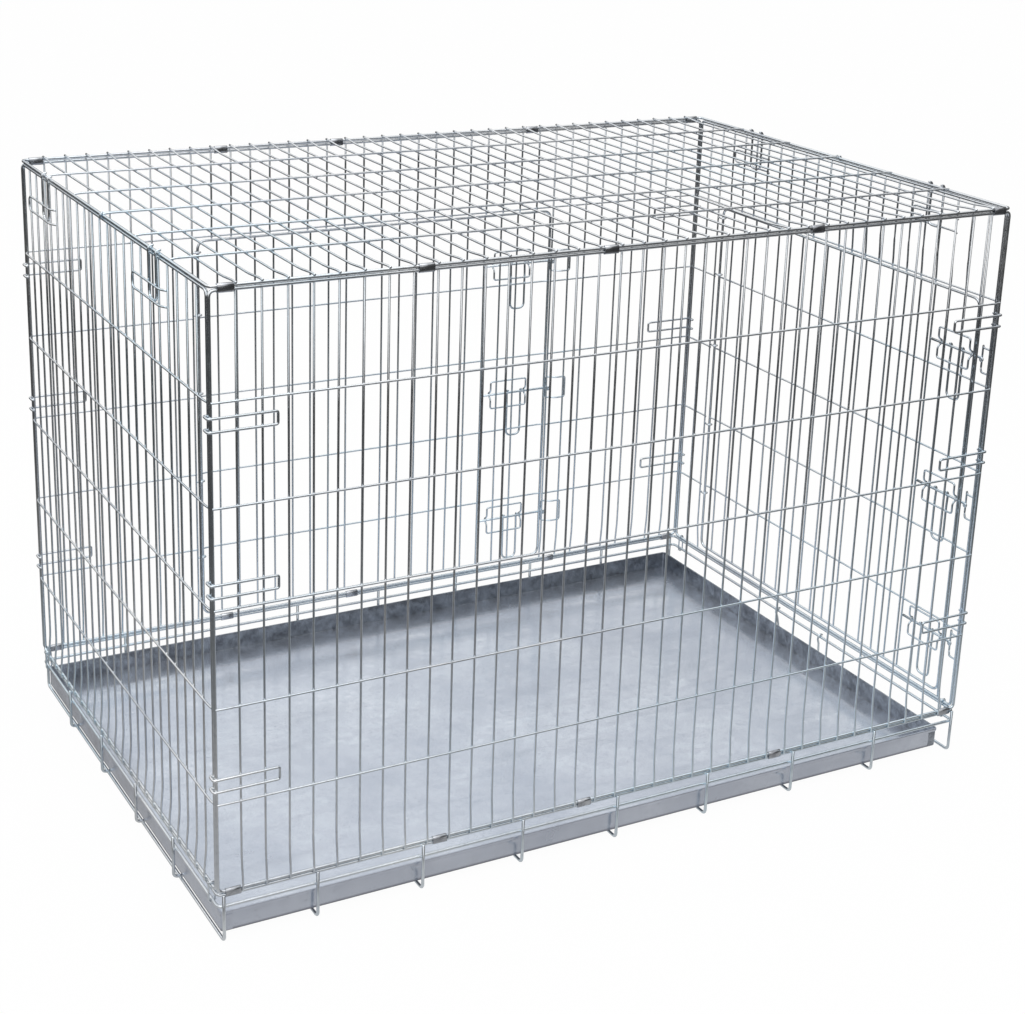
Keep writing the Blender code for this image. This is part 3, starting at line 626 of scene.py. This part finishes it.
def door_parts(side, hinge, latch, offset, heights, wires, seed):
    """A door outside its wall's plane: frame with large round corners, uprights, rows and bolt guides."""
    foot, top = 0.008, ROWS[-1] - 0.0067
    places = hinge + (latch - hinge) / 20 * np.arange(1, 20)
    out = DOOR_OUT + wires.mesh * SUNK
    weld = DOOR_OUT + wires.mesh / 4
    centre = latch - math.copysign(offset, latch - hinge)
    return [
        frame_ring(side, sorted((hinge, latch)), (foot, top), DOOR_OUT, 0.015, wires.door),
        uprights(side, places, foot, top, DOOR_OUT, wires, wires.bow, seed),
        cross_rows(side, hinge, latch, ROWS[:-1], out, weld, wires),
        crossings(side, places, ROWS[:-1], (DOOR_OUT + out) / 2, wires),
        bolt_guides(side, centre, heights, wires),
    ]


def bolt_parts(side, latch, away, height, guide_offset, handle_offset, wires):
    """A sliding bolt. Its rod ends in a small eye, and its drop handle hooks over the rod."""
    tip, tail = latch + away * 0.013, latch - away * (guide_offset + GUIDE_HALF + 0.019)
    centre, half = latch - away * handle_offset, 0.0135
    curl = 0.0021
    turn = np.radians(np.linspace(90, -200, 15))
    along = tip - away * curl + away * curl * np.cos(turn)
    eye = np.stack([along, height - curl + curl * np.sin(turn), np.full(15, BOLT_OUT)], -1)
    rod = np.concatenate([[(tail, height, BOLT_OUT), (centre, height, BOLT_OUT)], eye])
    reach = (wires.bolt + wires.hook) / 2
    over = np.radians([110, 85, 60, 35, 10, -12])
    hook = np.stack([over * 0, height + reach * np.sin(over), BOLT_OUT + reach * np.cos(over)], -1)
    leg = np.concatenate([hook, [(0, height - drop, HANDLE_OUT) for drop in (0.022, 0.05, 0.081)]])
    handle = joined_legs(leg + (centre - half, 0, 0), leg + (centre + half, 0, 0), 0.0105)
    return [
        tubes(placed(side, rod), wires.bolt, cut=True),
        tubes(placed(side, handle), wires.hook, lean=(0.45, 0.45, 0.77), cut=True),
    ]


def top_hook_parts(side, place, wires):
    """A U-shaped hook with an open eye over the top's end rail at each leg."""
    top, half = TOP - FOOT, 0.014
    turn = np.radians(np.linspace(118, 0, 10))
    eye = np.stack([turn * 0, top + LEG_OUT * np.sin(turn), LEG_OUT * np.cos(turn)], -1)
    leg = np.concatenate([eye, [(0, WALL - 0.03, LEG_OUT), (0, WALL - 0.056, LEG_OUT)]])
    path = joined_legs(leg + (place - half, 0, 0), leg + (place + half, 0, 0), 0.0105)
    return [tubes(placed(side, path), wires.hook, lean=(0.6, 0.3, 0.74), cut=True)]


def tray_stop_parts(axis, box, wires):
    """A U-shaped wire with an open eye over the right lower rail at each leg, hung in front of the tray.

    The eye is an arc from 40 to 180 degrees about the rail. The leg runs on down from it and leans out, and
    its foot is 4 mm nearer the middle than its eye.
    """
    half = (box[1][1] - box[0][1] - wires.hook) / 2
    drop = axis[2] - box[0][2] - wires.hook / 2
    turn = np.radians(np.linspace(40, 180, 12))
    arc = LEG_OUT * np.stack([np.cos(turn), np.sin(turn)], -1)
    down = [(-LEG_OUT, -0.12 * drop), (-0.0015, -0.36 * drop), (0.0, -0.68 * drop), (0.0015, -drop)]
    leg = np.concatenate([arc, down])
    across = half + np.minimum(leg[:, 1], 0) / drop * 0.004
    near = axis + np.stack([leg[:, 0], -across, leg[:, 1]], -1)
    path = joined_legs(near, near * (1, -1, 1), 0.008)
    return [tubes(path, wires.hook, lean=(0.9, 0.3, 0.2), cut=True)]


def around_two(low, high, radius):
    """Points (across, height) of a half circle over a high rail and one under a low rail."""
    turn = np.pi * np.arange(11) / 10
    over = np.stack([radius * np.cos(turn), high + radius * np.sin(turn)], -1)
    under = np.stack([-radius * np.cos(turn), low - radius * np.sin(turn)], -1)
    return np.concatenate([over, under])


def strap(x, y, low, high, wires):
    """A clip of sheet metal bent round two rails: a rectangle with drawn-in corners is led round both."""
    inner, edge, half, sheet = wires.frame / 2 + 0.0003, 0.0002, 0.0105, 0.0009
    left = [(-half + edge, 0), (-half, edge), (-half, sheet - edge), (-half + edge, sheet)]
    section = left + [(-along, lift) for along, lift in reversed(left)]
    loops = []
    for along, lift in section:
        ring = around_two(low, high, inner + lift)
        loops.append(np.stack([np.full(len(ring), x + along), y + ring[:, 0], ring[:, 1]], -1))
    return shell(np.stack(loops, 1))


def rounded_rings(low, high, insets, heights, corner):
    """Rings of a rounded rectangle, one for each inset and height.

    A corner is an arc of the corner radius less the inset, at least 0.8 mm. The straights are cut evenly.
    """
    counts, arc = (56, 38), 6
    insets, heights = np.asarray(insets, float), np.asarray(heights, float)
    radius = np.maximum(corner - insets, 0.0008)[:, None]
    x = (low[0] + insets[:, None] + radius, high[0] - insets[:, None] - radius)
    y = (low[1] + insets[:, None] + radius, high[1] - insets[:, None] - radius)
    centres = ((x[1], y[0]), (x[1], y[1]), (x[0], y[1]), (x[0], y[0]))
    arcs = []
    for i, (cx, cy) in enumerate(centres):
        turn = np.radians(np.linspace(-90, 0, arc) + 90 * i)[None]
        arcs.append(np.stack([cx + radius * np.cos(turn), cy + radius * np.sin(turn)], -1))
    pieces = []
    for i, bend in enumerate(arcs):
        share = (np.arange(1, counts[(i + 1) % 2]) / counts[(i + 1) % 2])[None, :, None]
        start, end = bend[:, -1:], arcs[(i + 1) % 4][:, :1]
        pieces += [bend, start * (1 - share) + end * share]
    flat = np.concatenate(pieces, 1)
    return np.concatenate([flat, flat[..., :1] * 0 + heights[:, None, None]], -1)


def floor_wave(x, y, height):
    """Soft dents in a sheet: the height times the sum of one half and three slow sines, held to 0 and 1."""
    wave = 0.5
    for size, by_x, by_y, shift in ((0.22, 9.1, 3.0, 0.6), (0.18, -6.3, 12.7, 2.1), (0.10, 21.0, 17.0, 0.0)):
        wave = wave + size * np.sin(by_x * x + by_y * y + shift)
    return height * np.clip(wave, 0, 1)


def corner_flaps(low, high, skin, rim, width):
    """The tray's four lapped flaps, each with two pressed dots, and the edge values of their points."""
    parts, edges = [], []
    # Each flap's edge value: the right flaps take the inner wall's, and so its painted shade; the left take
    # the outer wall's greyer tone.
    for x, inward, flap_edge in ((low[0], 1, -0.0042), (high[0], -1, 0.0)):
        for y, out in ((low[1], -1), (high[1], 1)):
            face = y - out * (skin - 0.0006)
            inner = (x + inward * (skin + 0.003), y - out * (skin + 0.0003), low[2] + 0.0016)
            outer = (x + inward * (skin + width), face, low[2] + rim - 0.0008)
            dots = [(x + inward * (skin + 0.010), face, low[2] + z) for z in (0.0075, 0.0160)]
            pair = [plate(inner, outer, out), beads(dots, (0.0022, 0.0004, 0.0022), 10)]
            parts += pair
            edges += [np.full(len(points), flap_edge) for points, _ in pair]
    return parts, edges


def tray_parts(shape):
    """An open tray of one skin: underside, outer wall, rolled rim, inner wall and a gently dented floor.

    The skin is a row of rings. The walls ripple by up to 0.5 mm: sin(11 x + 1) sin(13 y) times the sine of
    pi times the share of the height.
    """
    low, high = (np.array(corner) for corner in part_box("tray"))
    base, height = low[2], high[2] - low[2]
    skin, hem, sheet = shape.hem - shape.sheet, shape.hem, shape.sheet
    rim, roller = height - 0.005, hem / 2
    wall = [(skin + 0.0014, 0.0), (skin + 0.0004, 0.0004), (skin, 0.0014), (skin, 0.008), (skin, 0.016)]
    wall += [(skin, rim - 0.0006), (skin * 0.4, rim + 0.0001), (0.0, rim + 0.0012)]
    for turn in np.radians(np.linspace(0, 180, 9)):
        wall.append((roller - roller * math.cos(turn), height - roller + roller * math.sin(turn)))
    wall += [(hem, h) for h in (0.015, 0.006, sheet + 0.0012, sheet + 0.0002)]
    half = (high[1] - low[1]) / 2
    last = half - 0.004
    deep = np.concatenate([[0.0002, 0.0014, 0.006, 0.012], np.linspace(0.022, half - 0.012, 30), [last]])
    under = [last, 0.2, 0.02]
    insets = np.array(under + [inset for inset, _ in wall] + list(hem + deep))
    heights = np.array([0.0] * len(under) + [h for _, h in wall] + [sheet] * len(deep)) + base
    rings = rounded_rings(low[:2], high[:2], insets, heights, 0.006)
    first, floor = len(under), len(under) + len(wall)
    fade = np.clip(deep / 0.12, 0, 1)[:, None]
    walls, bottom = rings[first:floor], rings[floor:]
    bottom[..., 2] += floor_wave(bottom[..., 0], bottom[..., 1], shape.wave) * fade
    swell = np.sin(np.pi * np.clip((heights[first:floor] - base) / height, 0, 1))[:, None] * 0.0005
    ripple = np.sin(11.0 * walls[..., 0] + 1.0) * np.sin(13.0 * walls[..., 1])
    walls[..., 1] += swell * ripple * np.sign(walls[..., 1])
    points, faces = shell(np.swapaxes(rings, 0, 1), wrap=False)
    around = rings.shape[1]
    index = np.arange(around * len(rings)).reshape(around, len(rings))
    faces += [index[::-1, :1].T, index[:, -1:].T]
    outside = np.arange(floor) < floor - 8
    # Edge values of the outer wall and underside, which give the outer wall its greyer tone and its painted
    # contact shadow at the foot.
    lip = np.where(outside, np.minimum(heights[:floor] - base, 0.006) - 0.01, 0.0)
    flaps, edges = corner_flaps(low, high, skin, rim, shape.flap)
    return [(points, faces), *flaps], np.concatenate([np.tile(np.concatenate([lip, deep]), around), *edges])


def door_places(word):
    """Where a door's hinge and latch are along its wall, and how high its bolts are."""
    along = DOORS[word][1]
    bolts = np.array([joint_place(f"{word}_bolt_{i}_slide") for i in (1, 2, 3)])
    return joint_place(f"{word}_door_hinge")[along], bolts[0, along], bolts[:, 2] - FOOT


class CRATE_OT_base(bpy.types.Operator):
    """Rails and wires of the basket under the tray"""

    bl_idname = "crate.base"
    bl_label = "Base Basket"

    def execute(self, context):
        wires = context.scene.crate_wires
        for node, height in (("base_lower_rail", RAIL_LOW), ("base_upper_rail", RAIL_HIGH)):
            corners = [(x * FACE_X, y * FACE_Y, height) for x, y in ((-1, -1), (1, -1), (1, 1), (-1, 1))]
            ring = tubes(eased(corners, RAIL_BEND, 6, closed=True), wires.frame, closed=True)
            add_wires(node + "_wire", [ring], node)
        bottom = wires.frame / 2
        paths = {}
        for i in range(1, 10):
            node = f"base_cross_wire_{i}"
            x, y, top = middle(node)[0], FACE_Y + STACK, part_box(node)[1][2]
            paths[node] = [(x, -y, top), (x, -y, bottom), (x, y, bottom), (x, y, top)]
        for i in range(1, 5):
            node = f"base_long_wire_{i}"
            low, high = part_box(node)
            left, y, level = low[0] + bottom, middle(node)[1], bottom + STACK
            paths[node] = [(left, y, high[2]), (left, y, level), (high[0], y, level)]
        for node, path in paths.items():
            wire = tubes(eased(path, BASE_BEND, 7), wires.frame, cut=True)
            add_wires(node + "_round", [wire], node)
        return {"FINISHED"}


class CRATE_OT_tray(bpy.types.Operator):
    """Sheet metal tray with a rolled rim and lapped corners"""

    bl_idname = "crate.tray"
    bl_label = "Tray"

    def execute(self, context):
        parts, edge = tray_parts(context.scene.crate_tray)
        add_piece("tray_sheet", parts, "tray", "galvanised_sheet", ["tray"], edge)
        return {"FINISHED"}


class CRATE_OT_long_walls(bpy.types.Operator):
    """Front wall, and back wall with its doorway, hinge eyes and keepers"""

    bl_idname = "crate.long_walls"
    bl_label = "Long Walls"

    def execute(self, context):
        wires = context.scene.crate_wires
        front = wall_parts("front", FACE_X, LONG_GAPS, wires, 3) + [corner_hooks("front", wires)]
        add_wires("front_wall_wires", front, "front_wall")
        hinge, latch, heights = door_places("back")
        back = wall_parts("back", FACE_X, LONG_GAPS, wires, 5) + [
            corner_hooks("back", wires),
            hinge_eyes("back", -FACE_X + LONG_PITCH * DOORWAYS["back"][0], hinge, wires),
            keepers("back", latch, 1, 0.034, heights, wires),
        ]
        add_wires("back_wall_wires", back, "back_wall")
        return {"FINISHED"}


class CRATE_OT_end_walls(bpy.types.Operator):
    """End walls with the guides for the top's hooks. The right one has a doorway"""

    bl_idname = "crate.end_walls"
    bl_label = "End Walls"

    def execute(self, context):
        wires = context.scene.crate_wires
        left = wall_parts("left", END_HALF, END_GAPS, wires, 7) + top_guides("left", wires)
        add_wires("left_end_wires", left, "left_end_wall", "left_end_wall")
        hinge, latch, heights = door_places("end")
        width = latch - KEEPER_GAP + END_HALF - wires.mesh / 2
        right = wall_parts("right", END_HALF, END_GAPS, wires, 9) + top_guides("right", wires) + [
            hinge_eyes("right", -END_HALF + END_PITCH * DOORWAYS["right"][1], hinge, wires),
            keepers("right", latch, -1, width, heights, wires),
        ]
        add_wires("right_end_wires", right, "right_end_wall", "right_end_wall")
        return {"FINISHED"}


class CRATE_OT_top(bpy.types.Operator):
    """Top panel, whose middle row curls round the end rails and is doubled beside them"""

    bl_idname = "crate.top"
    bl_label = "Top Panel"

    def execute(self, context):
        wires = context.scene.crate_wires
        places = -FACE_X + LONG_PITCH * np.arange(1, LONG_GAPS)
        rows = 2 * FACE_Y * np.arange(1, 6) / 6 - FACE_Y
        out, beside = wires.mesh * SUNK, wires.mesh * 0.98
        reach = (wires.frame + wires.mesh) / 2
        parts = [
            frame_ring("top", (-FACE_X, FACE_X), (-FACE_Y, FACE_Y), 0.0, RAIL_BEND, wires.frame),
            uprights("top", places, -FACE_Y, FACE_Y, 0.0, wires, wires.bow, 13, 0.0031, 0.0031),
            cross_rows("top", -FACE_X, FACE_X, rows, out, wires.mesh * 0.6, wires),
            crossings("top", places, rows, out / 2, wires),
        ]
        turn = np.radians(np.linspace(80, -100, 10))
        curl = np.stack([FACE_X + reach * np.cos(turn), turn * 0, reach * np.sin(turn)], -1)
        double = [(FACE_X - back, beside, w) for back, w in ((0.0, reach * 0.96), (0.006, out), (0.086, out))]
        for path in (curl, np.array(double)):
            pair = np.stack([path * (end, 1, 1) for end in (-1, 1)])
            parts.append(mesh_tubes("top", pair, wires, cut=True))
        add_wires("top_panel_wires", parts, "top_panel")
        return {"FINISHED"}


class CRATE_OT_doors(bpy.types.Operator):
    """Back door and end door"""

    bl_idname = "crate.doors"
    bl_label = "Doors"

    def execute(self, context):
        wires = context.scene.crate_wires
        for word, seed in (("back", 15), ("end", 17)):
            node = f"{word}_door"
            side, _, _, guide, _ = DOORS[word]
            hinge, latch, heights = door_places(word)
            parts = door_parts(side, hinge, latch, guide, heights, wires, seed)
            add_wires(node + "_wires", parts, node, node)
        return {"FINISHED"}


class CRATE_OT_bolts(bpy.types.Operator):
    """Six sliding bolts with drop handles"""

    bl_idname = "crate.bolts"
    bl_label = "Bolts"

    def execute(self, context):
        wires = context.scene.crate_wires
        for word, (side, _, away, guide, handle) in DOORS.items():
            _, latch, heights = door_places(word)
            for i, height in enumerate(heights, 1):
                node = f"{word}_door_bolt_{i}"
                parts = bolt_parts(side, latch, away, height, guide, handle, wires)
                add_wires(node + "_rod", parts, node, node)
        return {"FINISHED"}


class CRATE_OT_top_hooks(bpy.types.Operator):
    """Four hooks that hold the top to the end walls"""

    bl_idname = "crate.top_hooks"
    bl_label = "Top Hooks"

    def execute(self, context):
        wires = context.scene.crate_wires
        for side in ("left", "right"):
            for word in ("front", "rear"):
                node = f"top_hook_{side}_{word}"
                parts = top_hook_parts(side, joint_place(node + "_swing")[1], wires)
                add_wires(node + "_wire", parts, node, node)
        return {"FINISHED"}


class CRATE_OT_tray_stop(bpy.types.Operator):
    """Swinging stop that keeps the tray in"""

    bl_idname = "crate.tray_stop"
    bl_label = "Tray Stop"

    def execute(self, context):
        axis, box = joint_place("tray_stop_swing"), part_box("tray_stop")
        parts = tray_stop_parts(axis, box, context.scene.crate_wires)
        add_wires("tray_stop_wire", parts, "tray_stop", "tray_stop")
        return {"FINISHED"}


class CRATE_OT_clips(bpy.types.Operator):
    """Sheet clips along the long edges, and wire links that hinge the end walls"""

    bl_idname = "crate.clips"
    bl_label = "Clips and Links"

    def execute(self, context):
        wires = context.scene.crate_wires
        for side, y in (("front", -FACE_Y), ("back", FACE_Y)):
            for edge, low, high in (("bottom", RAIL_HIGH, FOOT), ("top", FOOT + WALL, TOP)):
                for i in range(1, 6):
                    node = f"clip_{side}_{edge}_{i}"
                    part = strap(middle(node)[0], y, low, high, wires)
                    add_piece(node + "_strap", [part], "frame", "zinc_plated_clip", [node])
        radius = (wires.frame + wires.ring) / 2 + 0.0006
        for side, x in (("left", -FACE_X), ("right", FACE_X)):
            for word in ("front", "rear"):
                node = f"wall_ring_{side}_{word}"
                ring = around_two(RAIL_LOW, FOOT, radius)
                path = np.stack([x + ring[:, 0], np.full(len(ring), middle(node)[1]), ring[:, 1]], -1)
                add_wires(node + "_wire", [tubes(path, wires.ring, 10, closed=True)], node)
        return {"FINISHED"}


def bent_rays(nodes, path):
    """1 for a ray that a surface mirrored or let through, else 0."""
    return nodes.maths("MAXIMUM", path.outputs["Is Glossy Ray"], path.outputs["Is Transmission Ray"])


def stage_floor(colour):
    """White to the camera, with the crate's shadow in it. In reflections it dims away from the crate.

    The share mirrored is 0.06 + b 0.12^d, where d is the distance in metres past the footprint and b falls
    from 0.62 in front to 0.24 behind.
    """
    nodes, where = new_material("studio floor")
    path = nodes.add("ShaderNodeLightPath")
    beyond = nodes.vector("ABSOLUTE", where)["Vector"]
    beyond = nodes.vector("SUBTRACT", beyond, (FACE_X, FACE_Y, 0.0))["Vector"]
    beyond = nodes.vector("MAXIMUM", beyond)["Vector"]
    fall = nodes.maths("POWER", 0.12, nodes.vector("LENGTH", beyond)["Value"])
    along_y = nodes.add("ShaderNodeSeparateXYZ", {"Vector": where}).outputs["Y"]
    far = nodes.maths("MULTIPLY_ADD", fall, nodes.spread(along_y, -0.9, 0.9, 0.62, 0.24), 0.06)
    colour = (*colour, 1.0)
    matt = nodes.add("ShaderNodeBsdfDiffuse", {"Color": colour}).outputs["BSDF"]
    seen, mirrored = (
        nodes.add("ShaderNodeEmission", {"Color": colour, "Strength": light}).outputs[0]
        for light in (1.0, far)
    )
    share = nodes.spread(path.outputs["Is Camera Ray"], 0.0, 1.0, 0.0, 0.97)
    shown = nodes.add("ShaderNodeMixShader", {0: share, 1: matt, 2: seen}).outputs["Shader"]
    mixed = nodes.add("ShaderNodeMixShader", {0: bent_rays(nodes, path), 1: shown, 2: mirrored})
    nodes.add("ShaderNodeOutputMaterial", {"Surface": mixed.outputs["Shader"]})
    return bpy.data.materials["studio floor"]


def studio_world():
    """White to the camera. Metal sees a white ceiling that leans left and back, a light front, dim sides."""
    world = bpy.data.worlds.new("studio")
    world.use_nodes = True
    world.node_tree.nodes.clear()
    nodes = Nodes(world.node_tree)
    path = nodes.add("ShaderNodeLightPath")
    way = nodes.add("ShaderNodeTexCoord").outputs["Generated"]
    upward = nodes.vector("DOT_PRODUCT", way, (-0.16, 0.25, 1.0))["Value"]
    toward = nodes.vector("DOT_PRODUCT", way, (-0.35, -0.72, 0.60))["Value"]
    ceiling = nodes.spread(upward, 0.30, 0.56, 0.12, 1.0)
    level = nodes.maths("MAXIMUM", ceiling, nodes.spread(toward, 0.56, 0.76, 0.0, 0.85))
    plain = nodes.spread(path.outputs["Is Camera Ray"], 0.0, 1.0, 0.75, 1.0)
    strength = nodes.add("ShaderNodeMix", {0: bent_rays(nodes, path), 2: plain, 3: level}).outputs[0]
    sky = nodes.add("ShaderNodeBackground", {"Color": (1.0, 1.0, 1.0, 1.0), "Strength": strength})
    nodes.add("ShaderNodeOutputWorld", {"Surface": sky.outputs["Background"]})
    return world


def area_lamp(name, place, target, size, power):
    """A square lamp that faces a point."""
    lamp = bpy.data.lights.new(name, "AREA")
    lamp.shape, lamp.size, lamp.energy = "SQUARE", size, power
    holder = bpy.data.objects.new(name, lamp)
    bpy.context.scene.collection.objects.link(holder)
    holder.location = place
    holder.rotation_euler = (Vector(target) - Vector(place)).to_track_quat("-Z", "Y").to_euler()


class CRATE_OT_stage(bpy.types.Operator):
    """Floor, world, lamps and camera"""

    bl_idname = "crate.stage"
    bl_label = "Stage"

    def execute(self, context):
        scene, stage = context.scene, context.scene.crate_stage
        half = 12.0
        corners = [(-half, -half, 0), (half, -half, 0), (half, half, 0), (-half, half, 0)]
        mesh = bpy.data.meshes.new("floor")
        mesh.from_pydata(corners, [], [(0, 1, 2, 3)])
        floor = bpy.data.objects.new("floor", mesh)
        scene.collection.objects.link(floor)
        mesh.materials.append(stage_floor(tuple(stage.floor_colour)))
        scene.world = studio_world()
        area_lamp("key", (-0.6, -0.6, 3.4), (0, 0, 0.3), 2.6, stage.key_power)
        area_lamp("fill", (-2.6, -3.4, 2.2), (0, 0, 0.4), 1.8, stage.fill_power)
        camera = bpy.data.objects.new("camera", bpy.data.cameras.new("camera"))
        scene.collection.objects.link(camera)
        camera.data.lens, camera.data.sensor_width = stage.lens, 36.0
        camera.data.shift_y = CAMERA_SHIFT
        camera.location = CAMERA_PLACE
        camera.rotation_euler = [math.radians(turn) for turn in CAMERA_TURN]
        scene.camera = camera
        scene.view_settings.view_transform = "Standard"
        return {"FINISHED"}


class CRATE_PT_panel(bpy.types.Panel):
    """Sizes, finishes and the pieces in building order"""

    bl_idname = "CRATE_PT_panel"
    bl_label = "Dog Crate"
    bl_space_type = "VIEW_3D"
    bl_region_type = "UI"
    bl_category = "Crate"

    def draw(self, context):
        for name in GROUPS:
            group, box = getattr(context.scene, name), self.layout.box()
            for setting in group.__annotations__:
                box.prop(group, setting)
        for operator in PIECES:
            self.layout.operator(operator.bl_idname)


GROUPS = {
    "crate_wires": CrateWires,
    "crate_tray": CrateTray,
    "crate_finish": CrateFinish,
    "crate_stage": CrateStage,
}
PIECES = (
    CRATE_OT_stage, CRATE_OT_base, CRATE_OT_tray, CRATE_OT_long_walls, CRATE_OT_end_walls, CRATE_OT_top,
    CRATE_OT_doors, CRATE_OT_bolts, CRATE_OT_top_hooks, CRATE_OT_tray_stop, CRATE_OT_clips,
)


def register():
    for group in (*GROUPS.values(), *PIECES, CRATE_PT_panel):
        bpy.utils.register_class(group)
    for name, group in GROUPS.items():
        setattr(bpy.types.Scene, name, PointerProperty(type=group))


def unregister():
    for name in GROUPS:
        delattr(bpy.types.Scene, name)
    for group in reversed((*GROUPS.values(), *PIECES, CRATE_PT_panel)):
        bpy.utils.unregister_class(group)


def main():
    """Build the crate."""
    register()
    for operator in PIECES:
        getattr(bpy.ops.crate, operator.bl_idname.split(".")[1])()


if __name__ == "__main__":
    main()
